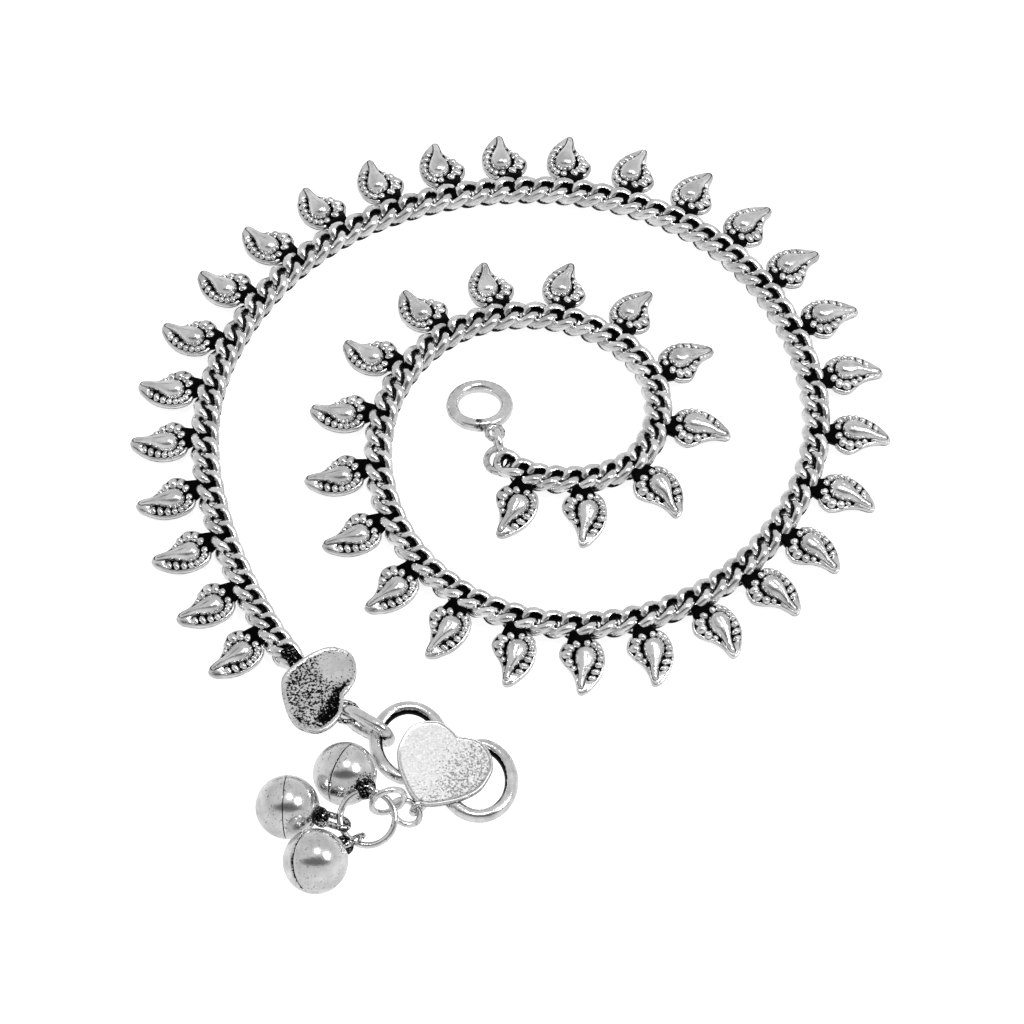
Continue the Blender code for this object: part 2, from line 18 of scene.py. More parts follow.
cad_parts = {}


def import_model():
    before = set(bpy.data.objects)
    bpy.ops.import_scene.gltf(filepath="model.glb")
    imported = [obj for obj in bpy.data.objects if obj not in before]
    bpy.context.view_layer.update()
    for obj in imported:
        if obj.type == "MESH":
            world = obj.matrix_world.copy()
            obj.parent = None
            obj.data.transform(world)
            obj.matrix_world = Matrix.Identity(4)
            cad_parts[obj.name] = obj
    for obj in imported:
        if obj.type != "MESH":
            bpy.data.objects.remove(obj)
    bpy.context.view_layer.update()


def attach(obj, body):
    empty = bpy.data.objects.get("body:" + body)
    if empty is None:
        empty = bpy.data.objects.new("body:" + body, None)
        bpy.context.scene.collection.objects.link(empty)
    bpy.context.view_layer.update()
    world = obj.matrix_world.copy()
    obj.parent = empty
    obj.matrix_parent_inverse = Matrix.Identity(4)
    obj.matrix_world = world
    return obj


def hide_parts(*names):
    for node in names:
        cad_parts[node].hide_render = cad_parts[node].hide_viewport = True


LOG = logging.getLogger("anklet")

MM = 0.001
PLAN_OFFSET = Vector((0.16, 0.12, 0.0))
TARNISH = "tarnish"

RIGHT = Vector((1.0, 0.0, 0.0))
AWAY = Vector((0.0, 1.0, 0.0))
UP = Vector((0.0, 0.0, 1.0))

Pair = tuple[float, float]
Triple = tuple[float, float, float]
# How tarnished something is: one value, or a rule that takes a vertex's place.
Tarnish = float | Callable[[Vector], float]
# Moves a point of an outline, which it takes with the point's number.
LoopRule = Callable[[int, Vector], Vector]


class Seat(Enum):
    """Whether a wire closes on itself or ends in two caps."""

    CLOSED = "closed"
    OPEN = "open"


def smoothstep(low: float, high: float, value: float) -> float:
    """Eases from 0 at low to 1 at high."""
    share = min(max((value - low) / (high - low), 0.0), 1.0)
    return share * share * (3.0 - 2.0 * share)


def closed_curve(corners: Sequence[Vector], per_span: int) -> list[Vector]:
    """Draws a smooth closed curve through the given corners.

    Args:
        corners: Points that the curve passes through, in order.
        per_span: Points made for each span between two corners.

    Returns:
        The curve's points, without a repeated last one.
    """
    count = len(corners)
    points = []
    for i in range(count):
        before, start, end, after = (corners[(i + k) % count] for k in (-1, 0, 1, 2))
        for j in range(per_span):
            t = j / per_span
            points.append(
                0.5
                * (
                    2.0 * start
                    + (end - before) * t
                    + (2.0 * before - 5.0 * start + 4.0 * end - after) * t**2
                    + (3.0 * start - before - 3.0 * end + after) * t**3
                )
            )
    return points


class Route:
    """The chain's centre line in plan, as a smooth curve through chosen points."""

    rows: tuple[Triple, ...] = (
        (0.3, -19.7, -16.2),
        (1.0, -21.3, -13.6),
        (3.0, -25.5, -3.9),
        (5.0, -27.4, 6.9),
        (7.0, -25.3, 17.0),
        (9.0, -19.2, 26.1),
        (11.0, -10.4, 31.9),
        (13.0, 0.0, 34.2),
        (15.0, 10.3, 32.8),
        (17.0, 19.2, 27.5),
        (19.0, 25.1, 18.6),
        (21.0, 27.1, 7.4),
        (23.0, 23.4, -3.0),
        (25.0, 16.0, -10.3),
        (27.0, 5.9, -13.1),
        (29.0, -4.1, -10.1),
        (31.0, -10.6, -1.8),
        (33.0, -11.5, 9.3),
        (35.0, -5.7, 18.2),
        (37.0, 4.3, 19.9),
        (39.0, 12.4, 13.5),
        (41.0, 10.6, 4.2),
        (43.0, 1.4, 3.0),
        (43.7, -0.8, 4.5),
    )

    def __init__(self) -> None:
        """Works out the bend of the curve at each chosen point."""
        table = np.array(self.rows)
        self.knots = table[:, 0]
        self.values = table[:, 1:]
        count = len(self.knots)
        steps = np.diff(self.knots)
        left = np.zeros((count, count))
        right = np.zeros((count, 2))
        left[0, :2] = (1.0, -1.0)
        left[-1, -2:] = (-1.0, 1.0)
        for i in range(1, count - 1):
            left[i, i - 1 : i + 2] = (steps[i - 1], 2.0 * (steps[i - 1] + steps[i]), steps[i])
            after = (self.values[i + 1] - self.values[i]) / steps[i]
            before = (self.values[i] - self.values[i - 1]) / steps[i - 1]
            right[i] = 6.0 * (after - before)
        self.bends = np.linalg.solve(left, right)

    def point(self, number: float) -> Vector:
        """Gives the chain's centre in plan.

        Args:
            number: Place along the chain, counted in charms.

        Returns:
            The point, with no height.
        """
        found = np.searchsorted(self.knots, number, side="right") - 1
        i = int(np.clip(found, 0, len(self.knots) - 2))
        span = self.knots[i + 1] - self.knots[i]
        ahead = (self.knots[i + 1] - number) / span
        behind = 1.0 - ahead
        bend = (ahead**3 - ahead) * self.bends[i] + (behind**3 - behind) * self.bends[i + 1]
        place = ahead * self.values[i] + behind * self.values[i + 1] + bend * span**2 / 6.0
        return Vector((place[0], place[1], 0.0))

    def heading(self, number: float) -> Vector:
        """Gives the direction of travel at a place counted in charms."""
        return (self.point(number + 0.01) - self.point(number - 0.01)).normalized()

    def seat(self, number: float, height: float) -> Matrix:
        """Gives the frame there: x along the chain, y outward, z up.

        Args:
            number: Place along the chain, counted in charms.
            height: Height of the frame's origin.

        Returns:
            The frame as a matrix.
        """
        heading = self.heading(number)
        turn = Matrix.Rotation(math.atan2(heading.y, heading.x), 4, "Z")
        return Matrix.Translation(self.point(number) + UP * height) @ turn


@dataclass
class Workpiece:
    """A mesh in the making, in millimetres, with a tarnish value on each vertex."""

    name: str
    shape: bmesh.types.BMesh = field(default_factory=bmesh.new)

    def __post_init__(self) -> None:
        """Adds the layer that holds how dark each vertex is."""
        self.layer = self.shape.verts.layers.float.new(TARNISH)

    def blacken(self, verts: Sequence[bmesh.types.BMVert], value: Tarnish) -> None:
        """Sets how tarnished the given vertices are.

        Args:
            verts: The vertices to set.
            value: Their tarnish.
        """
        for vert in verts:
            vert[self.layer] = value(vert.co) if callable(value) else value

    def sweep(
        self,
        path: Sequence[Vector],
        normal: Vector,
        radius: float,
        sides: int,
        value: Tarnish,
        seat: Seat = Seat.CLOSED,
    ) -> None:
        """Draws a round wire along a path by extruding a circle from point to point.

        Args:
            path: The wire's centre line.
            normal: A direction that the path never runs along, which keeps the wire straight.
            radius: Radius of the wire.
            sides: Sides of its section.
            value: Tarnish of its vertices.
            seat: Whether the wire closes on itself.
        """
        count = len(path)
        frames = []
        for i, point in enumerate(path):
            if seat is Seat.CLOSED:
                along = path[(i + 1) % count] - path[i - 1]
            else:
                along = path[min(i + 1, count - 1)] - path[max(i - 1, 0)]
            along.normalize()
            side = normal.cross(along).normalized()
            turned = Matrix((along.cross(side), side, along)).transposed().to_4x4()
            frames.append(Matrix.Translation(point) @ turned @ Matrix.Scale(radius, 4))
        circle = bmesh.ops.create_circle(
            self.shape, cap_ends=False, segments=sides, radius=1.0, matrix=frames[0]
        )
        verts = list(circle["verts"])
        first = list(dict.fromkeys(edge for vert in verts for edge in vert.link_edges))
        edges = first
        for before, after in zip(frames, frames[1:]):
            grown = bmesh.ops.extrude_edge_only(self.shape, edges=edges)["geom"]
            fresh = [item for item in grown if isinstance(item, bmesh.types.BMVert)]
            edges = [item for item in grown if isinstance(item, bmesh.types.BMEdge)]
            marks = set(fresh)
            edges = [edge for edge in edges if edge.verts[0] in marks and edge.verts[1] in marks]
            bmesh.ops.transform(self.shape, matrix=after @ before.inverted(), verts=fresh)
            verts += fresh
        if seat is Seat.CLOSED:
            bmesh.ops.bridge_loops(self.shape, edges=first + edges)
        else:
            for rim in (first, edges):
                bmesh.ops.edgeloop_fill(self.shape, edges=rim)
        self.blacken(verts, value)

    def ball(self, place: Matrix, fineness: int, value: Tarnish, fullness: float = 1.0) -> None:
        """Adds a small ball, stretched and turned by a matrix.

        Args:
            place: Where it goes and how it is stretched.
            fineness: Subdivisions of the ball.
            value: Tarnish of its vertices.
            fullness: 1 for a round ball, less for a blunter, boxier one.
        """
        verts = bmesh.ops.create_icosphere(self.shape, subdivisions=fineness, radius=1.0)["verts"]
        for vert in verts:
            vert.co = Vector([math.copysign(abs(part) ** fullness, part) for part in vert.co])
        bmesh.ops.transform(self.shape, matrix=place, verts=verts)
        self.blacken(verts, value)

    def loft(
        self, outline: Sequence[Vector], steps: Sequence[tuple[LoopRule, Tarnish]]
    ) -> bmesh.types.BMFace:
        """Raises a solid from a flat outline, one loop after another.

        Args:
            outline: The lowest loop.
            steps: For each loop above it, a rule that moves each point of the outline there,
                and the loop's tarnish.

        Returns:
            The face that closes the top.
        """
        made = bmesh.ops.create_circle(
            self.shape, cap_ends=True, segments=len(outline), radius=1.0
        )
        verts = list(made["verts"])
        for vert, point in zip(verts, outline):
            vert.co = point
        self.blacken(verts, 1.0)
        top = verts[0].link_faces[0]
        first = True
        for rule, value in steps:
            order = {vert: i for i, vert in enumerate(verts)}
            grown = bmesh.ops.extrude_face_region(self.shape, geom=[top])["geom"]
            if not first:
                bmesh.ops.delete(self.shape, geom=[top], context="FACES_ONLY")
            first = False
            fresh = [item for item in grown if isinstance(item, bmesh.types.BMVert)]
            top = next(item for item in grown if isinstance(item, bmesh.types.BMFace))
            partner: list[bmesh.types.BMVert] = [None] * len(verts)
            for vert in fresh:
                others = (edge.other_vert(vert) for edge in vert.link_edges)
                below = next(other for other in others if other in order)
                partner[order[below]] = vert
            for i, vert in enumerate(partner):
                vert.co = rule(i, outline[i])
            self.blacken(partner, value)
            verts = partner
        return top

    def close_top(self, top: bmesh.types.BMFace, value: Tarnish) -> None:
        """Fans the top face out from a middle vertex and sets that vertex's tarnish."""
        self.blacken(bmesh.ops.poke(self.shape, faces=[top])["verts"], value)

    def round_off(
        self, verts: Sequence[bmesh.types.BMVert], offset: float, value: Tarnish
    ) -> None:
        """Rounds the edges of a block.

        Args:
            verts: The block's vertices.
            offset: How far the rounding reaches.
            value: Tarnish of the rounded block.
        """
        edges = list(dict.fromkeys(edge for vert in verts for edge in vert.link_edges))
        rounded = bmesh.ops.bevel(
            self.shape,
            geom=edges,
            offset=offset,
            affect="EDGES",
            segments=2,
            profile=0.5,
            material=-1,
        )
        self.blacken(rounded["verts"], value)

    def as_mesh(self) -> bpy.types.Mesh:
        """Turns the work into a mesh, still in millimetres."""
        mesh = bpy.data.meshes.new(self.name)
        self.shape.to_mesh(mesh)
        self.shape.free()
        return mesh

    def finished(self) -> bpy.types.Mesh:
        """Turns the work's faces outward and gives its mesh in metres."""
        bmesh.ops.recalc_face_normals(self.shape, faces=self.shape.faces)
        return to_metres(self.as_mesh())


def to_metres(mesh: bpy.types.Mesh) -> bpy.types.Mesh:
    """Moves a mesh by the route's offset, shrinks it to metres and shades it smooth."""
    mesh.transform(Matrix.Scale(MM, 4) @ Matrix.Translation(PLAN_OFFSET))
    mesh.shade_smooth()
    return mesh


def smooth_edges(mesh: bpy.types.Mesh, angle_deg: float) -> bpy.types.Mesh:
    """Marks edges sharper than an angle and gives the mesh back."""
    mesh.set_sharp_from_angle(angle=math.radians(angle_deg))
    return mesh


def ellipse(
    centre: Vector, axis_a: Vector, axis_b: Vector, half_a: float, half_b: float, count: int
) -> list[Vector]:
    """Gives points round an ellipse.

    Args:
        centre: Its centre.
        axis_a: Unit direction of its first axis.
        axis_b: Unit direction of its second axis.
        half_a: Half length along the first axis.
        half_b: Half length along the second axis.
        count: Number of points.

    Returns:
        The points, without a repeated last one.
    """
    points = []
    for i in range(count):
        turn = 2.0 * math.pi * i / count
        points.append(
            centre + axis_a * (half_a * math.cos(turn)) + axis_b * (half_b * math.sin(turn))
        )
    return points


def stadium(
    start: Vector, end: Vector, side: Vector, half_width: float, count: int
) -> list[Vector]:
    """Gives points round two straight runs with round ends.

    Args:
        start: Centre of the first round end.
        end: Centre of the second round end.
        side: Unit direction across the runs.
        half_width: Radius of the ends.
        count: Spans in each end.

    Returns:
        The points, beginning with the round end at end.
    """
    along = (end - start).normalized()
    points = []
    for centre, first in ((end, -0.5), (start, 0.5)):
        for i in range(count + 1):
            turn = math.pi * (first + i / count)
            ahead = along * (half_width * math.cos(turn))
            points.append(centre + ahead + side * (half_width * math.sin(turn)))
    return points


def add_node(
    tree: bpy.types.NodeTree,
    kind: str,
    values: dict[str | int, object] | None = None,
    **settings: str,
) -> bpy.types.Node:
    """Adds a shader node.

    Args:
        tree: The tree that it joins.
        kind: The node's type, without the words that all types begin with.
        values: Values of its inputs, by the input's name or number.
        **settings: Its own settings.

    Returns:
        The node.
    """
    node = tree.nodes.new(f"ShaderNode{kind}")
    for title, setting in settings.items():
        setattr(node, title, setting)
    for title, value in (values or {}).items():
        node.inputs[title].default_value = value
    return node


@dataclass(frozen=True)
class Groups:
    """Shader groups that the metal finishes share."""

    patches: bpy.types.NodeTree
    surface: bpy.types.NodeTree

    @staticmethod
    def _tree(
        name: str, inputs: dict[str, float], outputs: Sequence[str]
    ) -> tuple[bpy.types.NodeTree, bpy.types.Node, bpy.types.Node]:
        """Starts a group with plain number sockets.

        Args:
            name: The group's name.
            inputs: Name and default of each input.
            outputs: Names of the outputs.

        Returns:
            The group, and the nodes that hold its inputs and outputs.
        """
        tree = bpy.data.node_groups.new(name, "ShaderNodeTree")
        for title, value in inputs.items():
            socket = tree.interface.new_socket(
                title, in_out="INPUT", socket_type="NodeSocketFloat"
            )
            socket.default_value = value
        for title in outputs:
            tree.interface.new_socket(title, in_out="OUTPUT", socket_type="NodeSocketFloat")
        return tree, tree.nodes.new("NodeGroupInput"), tree.nodes.new("NodeGroupOutput")

    @classmethod
    def build(cls) -> "Groups":
        """Builds both groups once."""
        return cls(cls._patches(), cls._surface())

    @classmethod
    def _patches(cls) -> bpy.types.NodeTree:
        """Turns the tarnish layer into black patches with broken edges."""
        sockets = {"Tarnish": 0.0, "Breakup": 0.5, "Scale": 2500.0}
        tree, entry, leave = cls._tree("tarnish_patches", sockets, ["Mask"])
        link = tree.links.new
        place = add_node(tree, "TexCoord")
        noise = add_node(tree, "TexNoise", {"Detail": 3.0, "Roughness": 0.6})
        centred = add_node(tree, "Math", {1: 0.5}, operation="SUBTRACT")
        spread = add_node(tree, "Math", operation="MULTIPLY_ADD")
        ramp = add_node(
            tree,
            "MapRange",
            {"From Min": 0.36, "From Max": 0.62},
            interpolation_type="SMOOTHSTEP",
        )
        link(place.outputs["Object"], noise.inputs["Vector"])
        link(entry.outputs["Scale"], noise.inputs["Scale"])
        link(noise.outputs["Fac"], centred.inputs[0])
        link(centred.outputs[0], spread.inputs[0])
        link(entry.outputs["Breakup"], spread.inputs[1])
        link(entry.outputs["Tarnish"], spread.inputs[2])
        link(spread.outputs[0], ramp.inputs["Value"])
        link(ramp.outputs["Result"], leave.inputs["Mask"])
        return tree

    @classmethod
    def _surface(cls) -> bpy.types.NodeTree:
        """Gives the height of a cast or stippled surface and a slow change of shade."""
        sockets = {"Grain Scale": 3000.0, "Shade Scale": 600.0}
        tree, entry, leave = cls._tree("cast_surface", sockets, ["Height", "Shade"])
        link = tree.links.new
        place = add_node(tree, "TexCoord")
        for scale, detail, title in (("Grain Scale", 2.0, "Height"), ("Shade Scale", 3.0, "Shade")):
            noise = add_node(tree, "TexNoise", {"Detail": detail})
            link(place.outputs["Object"], noise.inputs["Vector"])
            link(entry.outputs[scale], noise.inputs["Scale"])
            link(noise.outputs["Fac"], leave.inputs[title])
        return tree


@dataclass(frozen=True)
class SilverFinish:
    """One finish of the silver: a polished tone on the high places and a black one in the low."""

    name: str
    slot: str
    light: float = 0.82
    dark: float = 0.002
    light_roughness: float = 0.24
    dark_roughness: float = 0.5
    breakup: float = 0.6
    patch_scale: float = 2600.0
    grain_scale: float = 3200.0
    grain_depth: float = 0.00002
    shade_scale: float = 700.0
    shade_share: float = 0.35
    base_tarnish: float = 0.0

    def material(self, groups: Groups) -> bpy.types.Material:
        """Builds the material.

        Args:
            groups: The shared shader groups.

        Returns:
            The material.
        """
        made = bpy.data.materials.new(self.name)
        made.use_nodes = True
        tree = made.node_tree
        link = tree.links.new
        shader = tree.nodes["Principled BSDF"]
        shader.inputs["Metallic"].default_value = 1.0
        layer = add_node(tree, "Attribute", attribute_name=TARNISH)
        raised = add_node(tree, "Math", {1: self.base_tarnish}, operation="ADD")
        link(layer.outputs["Fac"], raised.inputs[0])

        patches = tree.nodes.new("ShaderNodeGroup")
        patches.node_tree = groups.patches
        patches.inputs["Breakup"].default_value = self.breakup
        patches.inputs["Scale"].default_value = self.patch_scale
        link(raised.outputs[0], patches.inputs["Tarnish"])

        surface = tree.nodes.new("ShaderNodeGroup")
        surface.node_tree = groups.surface
        surface.inputs["Grain Scale"].default_value = self.grain_scale
        surface.inputs["Shade Scale"].default_value = self.shade_scale

        tones = {"From Min": 0.3, "From Max": 0.7, "To Min": 1.0 - self.shade_share, "To Max": 1.0}
        tone = add_node(tree, "MapRange", tones)
        link(surface.outputs["Shade"], tone.inputs["Value"])
        lit = add_node(tree, "VectorMath", {0: (self.light,) * 3}, operation="SCALE")
        link(tone.outputs["Result"], lit.inputs["Scale"])

        colour = add_node(tree, "Mix", data_type="RGBA")
        colour.inputs["B"].default_value = (self.dark, self.dark, self.dark, 1.0)
        link(patches.outputs["Mask"], colour.inputs["Factor"])
        link(lit.outputs["Vector"], colour.inputs["A"])
        link(colour.outputs["Result"], shader.inputs["Base Color"])

        ends = {"To Min": self.light_roughness, "To Max": self.dark_roughness}
        rough = add_node(tree, "MapRange", ends)
        link(patches.outputs["Mask"], rough.inputs["Value"])
        link(rough.outputs["Result"], shader.inputs["Roughness"])

        bump = add_node(tree, "Bump", {"Strength": 1.0, "Distance": self.grain_depth})
        link(surface.outputs["Height"], bump.inputs["Height"])
        link(bump.outputs["Normal"], shader.inputs["Normal"])
        return made


@dataclass
class Bench:
    """Keeps the finishes and puts each finished mesh in the scene."""

    groups: Groups
    made: dict[str, bpy.types.Material] = field(default_factory=dict)

    def dress(self, mesh: bpy.types.Mesh, name: str, node: str, finish: SilverFinish) -> None:
        """Turns a mesh into a piece that stands for a node.

        Args:
            mesh: The finished mesh, in metres, in place.
            name: The piece's name.
            node: The node that it replaces.
            finish: Its finish.
        """
        if finish.name not in self.made:
            self.made[finish.name] = finish.material(self.groups)
        mesh.materials.clear()
        mesh.materials.append(self.made[finish.name])
        piece = bpy.data.objects.new(name, mesh)
        bpy.context.scene.collection.objects.link(piece)
        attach(piece, "root")
        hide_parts(node)
        LOG.info("%s stands for %s", name, node)


OXIDISED = SilverFinish(
    "oxidised_silver", "oxidised_silver", light=0.86, breakup=0.8, grain_depth=0.00003
)
LINKED = SilverFinish(
    "oxidised_links",
    "oxidised_silver",
    light=0.95,
    light_roughness=0.2,
    breakup=1.4,
    patch_scale=5000.0,
    shade_share=0.4,
    base_tarnish=0.1,
)
WORN = SilverFinish(
    "worn_rings",
    "oxidised_silver",
    light=0.88,
    light_roughness=0.16,
    breakup=1.3,
    shade_scale=900.0,
    shade_share=0.3,
)
BELLS = SilverFinish(
    "bell_silver",
    "oxidised_silver",
    light=0.9,
    light_roughness=0.18,
    breakup=2.8,
    patch_scale=6000.0,
    grain_scale=2600.0,
    grain_depth=0.000014,
    shade_scale=520.0,
    shade_share=0.4,
)
HOOKED = SilverFinish(
    "worn_hook",
    "bright_silver",
    light=0.9,
    light_roughness=0.16,
    breakup=0.8,
    patch_scale=2200.0,
    shade_scale=900.0,
)
STIPPLED = SilverFinish(
    "bright_stipple",
    "bright_silver",
    light=0.72,
    dark=0.2,
    light_roughness=0.34,
    dark_roughness=0.4,
    breakup=1.8,
    patch_scale=5000.0,
    grain_scale=6500.0,
    grain_depth=0.00001,
    shade_scale=5200.0,
)
PITTED = SilverFinish(
    "pitted_plate",
    "pitted_silver",
    light=0.78,
    light_roughness=0.3,
    breakup=3.2,
    patch_scale=5000.0,
    grain_scale=6000.0,
    grain_depth=0.00003,
    shade_share=0.3,
)


@dataclass
class CurbChain:
    """The chain: flat interlocking links, with black solder where a charm hangs."""

    route: Route
    height: float = 1.6
    half_length: float = 1.25
    half_width: float = 0.84
    wire: float = 0.48
    weave: float = 0.42
    end_links: Triple = (0.25, 0.6, 43.45)
    split: float = 22.5
    charms: int = 43
    links_per_charm: int = 3
    path_points: int = 36
    sides: int = 10
    solder_shift: float = 0.3
    solder_size: Triple = (1.15, 0.8, 0.5)

    def _link_numbers(self) -> list[tuple[float, bool]]:
        """Lists each link's place along the chain and whether it carries a charm."""
        first, second, last = self.end_links
        places = [(first, False), (second, False)]
        for charm in range(1, self.charms):
            for i in range(self.links_per_charm):
                places.append((charm + i / self.links_per_charm, i == 0))
        return [*places, (float(self.charms), True), (last, False)]

    def _oxide_and_painted_shade(self, place: Vector) -> float:
        """Blackens the inside of the link, its oxide, and paints shade on the wire's lower half,
        where the links pass under each other.
        """
        reach = math.hypot(place.x / self.half_length, place.y / self.half_width)
        inner = 1.0 - smoothstep(0.56, 0.92, reach)
        # painted shade: the lower half of the wire is darkened where the links pass under each
        # other
        low = 1.0 - smoothstep(-0.5, 0.1, place.z)
        return max(inner, low)

    def _link(self) -> bpy.types.Mesh:
        """Bends one link, which dips and rises so that the next one passes through it."""
        work = Workpiece("link")
        path = []
        for i in range(self.path_points):
            turn = 2.0 * math.pi * i / self.path_points
            x, y = self.half_length * math.cos(turn), self.half_width * math.sin(turn)
            path.append(Vector((x, y, -self.weave * math.sin(2.0 * turn))))
        work.sweep(path, UP, self.wire, self.sides, self._oxide_and_painted_shade)
        return work.as_mesh()

    def build(self, bench: Bench) -> None:
        """Lays the links along the route in two lengths.

        Args:
            bench: Where finished pieces go.
        """
        link = self._link()
        stretch = Matrix.Diagonal((*self.solder_size, 1.0))
        solder = Matrix.Translation((0.0, self.solder_shift, 0.0)) @ stretch
        for node, low, high in (
            ("curb_chain_outer", -math.inf, self.split),
            ("curb_chain_inner", self.split, math.inf),
        ):
            work = Workpiece(node)
            for number, carries in self._link_numbers():
                if not low <= number < high:
                    continue
                seat = self.route.seat(number, self.height)
                before = len(work.shape.verts)
                work.shape.from_mesh(link)
                work.shape.verts.ensure_lookup_table()
                fresh = work.shape.verts[before:]
                bmesh.ops.transform(work.shape, matrix=seat, verts=fresh)
                if carries:
                    work.ball(seat @ solder, 2, 1.0)
            bench.dress(work.finished(), f"{node}_links", node, LINKED)
        bpy.data.meshes.remove(link)


@dataclass(frozen=True)
class Bead:
    """One bead of the border: its station round the charm, half its width and its top's height."""

    station: float
    half_width: float
    top: float


@dataclass
class LeafCharms:
    """The cast leaf charms, each with a rim, a border of beads, a dome and a solder neck."""

    route: Route
    height: float = 1.82
    root: float = 1.53
    length: float = 5.2
    width: float = 3.95
    droop_deg: float = 9.5
    lean_deg: float = 10.0
    sharp_deg: float = 50.0
    back_depth: float = 0.28
    lane_floor: float = 0.42
    dome_height: float = 1.45
    tail_drop: float = 0.5
    tip_rise: float = 0.3
    tip_start: Pair = (0.58, 0.72)
    tip_blend: float = 0.14
    turns_deg: tuple[int, ...] = (
        -7, 0, 4, 0, 4, 0, 3, 3, -2, 0, 1, -1, -7, -6, 0, 0, -1, -3, 1, 2, 1, 2,
        7, -4, 0, 7, 2, -4, -1, -1, 3, 0, 1, 1, -2, -3, -2, -5, -8, 0, 6, 9, 6,
    )
    outline: tuple[Triple, ...] = (
        (0.03, 0.29, 0.29),
        (0.12, 0.43, 0.43),
        (0.25, 0.49, 0.495),
        (0.39, 0.50, 0.43),
        (0.53, 0.465, 0.31),
        (0.67, 0.39, 0.24),
        (0.80, 0.265, 0.22),
        (0.91, 0.11, 0.225),
        (0.975, 0.0, 0.2),
    )
    outline_root: Pair = (0.0, 0.0)
    outline_tip: Pair = (0.13, 1.0)
    dome: tuple[Triple, ...] = (
        (0.19, 0.20, 0.04),
        (0.24, 0.285, 0.115),
        (0.33, 0.325, 0.16),
        (0.43, 0.305, 0.17),
        (0.54, 0.215, 0.145),
        (0.66, 0.085, 0.15),
        (0.77, 0.0, 0.185),
        (0.87, -0.055, 0.2),
        (0.925, -0.08, 0.18),
    )
    dome_root: Pair = (-0.08, 0.165)
    dome_tail: Pair = (0.125, 0.945)
    spine_reach: Pair = (0.34, 0.86)
    beads: tuple[Bead, ...] = (
        Bead(0.6, 0.34, 0.8),
        Bead(1.5, 0.31, 0.86),
        Bead(2.35, 0.3, 0.9),
        Bead(3.2, 0.3, 0.92),
        Bead(4.1, 0.31, 0.92),
        Bead(5.0, 0.32, 0.92),
        Bead(5.9, 0.31, 0.88),
        Bead(6.75, 0.27, 0.8),
        Bead(19.45, 0.34, 0.82),
        Bead(18.35, 0.38, 0.88),
        Bead(17.2, 0.45, 0.94),
        Bead(15.95, 0.4, 0.92),
        Bead(15.0, 0.3, 0.84),
    )
    bead_share: float = 0.39
    bead_longest: float = 1.6
    bead_from_rim: float = 0.17
    bead_tilt: float = 0.36
    bead_sunk: float = 0.08
    bead_fullness: float = 0.85
    neck_start: float = 0.7
    neck_reach: float = 0.42
    neck_size: Pair = (1.4, 0.7)
    neck_height: float = 0.3
    neck_flare: Triple = (1.75, 1.0, 0.88)
    neck_rounding: float = 0.18
    per_span: int = 4

    def _place(self, aside: float, along: float) -> Vector:
        """Turns shares of the width and length into a point of the flat charm."""
        return Vector((aside * self.width, self.root + along * self.length, 0.0))

    def _along(self, place: Vector) -> float:
        """Gives the share of the charm's length at which a place lies."""
        return (place.y - self.root) / self.length

    def _loop(self, rows: Sequence[Triple], start: Pair, end: Pair) -> list[Vector]:
        """Draws the loop of a table of shares, from the root round the convex side and back.

        Args:
            rows: Share of the length, then of the width on the convex and the hollow side.
            start: Where the loop begins, as shares of width and length.
            end: Where it turns back, as shares of width and length.

        Returns:
            The loop's points.
        """
        there = [self._place(-convex, along) for along, convex, _ in rows]
        back = [self._place(hollow, along) for along, _, hollow in reversed(rows)]
        corners = [self._place(*start), *there, self._place(*end), *back]
        return closed_curve(corners, self.per_span)

    def _spine(self, point: Vector) -> Vector:
        """Finds the point of the dome's ridge that a point of its foot climbs to."""
        low, high = self.spine_reach
        along = min(max(self._along(point), low), high)
        shares = [row[0] for row in self.dome]
        sides = [(row[2] - row[1]) / 2.0 for row in self.dome]
        return self._place(float(np.interp(along, shares, sides)), along)

    def _solid(self, place: Vector) -> float:
        """Tells how far a place is part of the smooth tip, longer on the hollow side."""
        hollow, convex = self.tip_start
        start = hollow if place.x > 0.0 else convex
        return smoothstep(start, start + self.tip_blend, self._along(place))

    def _lane(self, place: Vector) -> float:
        """Blackens the lane of the beads, but not the solid tip."""
        return 1.0 - self._solid(place)

    def _steps(self, rim: list[Vector], foot: list[Vector]) -> list[tuple[LoopRule, Tarnish]]:
        """Gives the loops of the cast charm from its edge up to its ridge.

        Args:
            rim: The charm's outline.
            foot: The dome's foot.

        Returns:
            Each loop's rule and tarnish.
        """
        ridge = [self._spine(point) for point in foot]

        def inset(distance: float, height: float) -> LoopRule:
            """Moves a point of the outline inward by a distance."""
            return lambda i, _: rim[i] + (foot[i] - rim[i]).normalized() * distance + UP * height

        def between(share: float, height: float) -> LoopRule:
            """Moves a point from the outline to the dome's foot, higher where the tip is solid."""

            def rule(i: int, _: Vector) -> Vector:
                """Finds one point."""
                place = rim[i].lerp(foot[i], share)
                rise = self.tip_rise * self._solid(place) * smoothstep(0.0, 0.5, share)
                return place + UP * (height + rise)

            return rule

        def crest(share: float, height: float) -> LoopRule:
            """Moves a point from the dome's foot to its ridge, lower where the tail runs out."""

            def rule(i: int, _: Vector) -> Vector:
                """Finds one point."""
                place = foot[i].lerp(ridge[i], share)
                tail = self.tail_drop * smoothstep(0.42, 0.9, self._along(place))
                rise = (self.dome_height - self.lane_floor) * (1.0 - tail)
                return place + UP * (self.lane_floor + height * rise)

            return rule

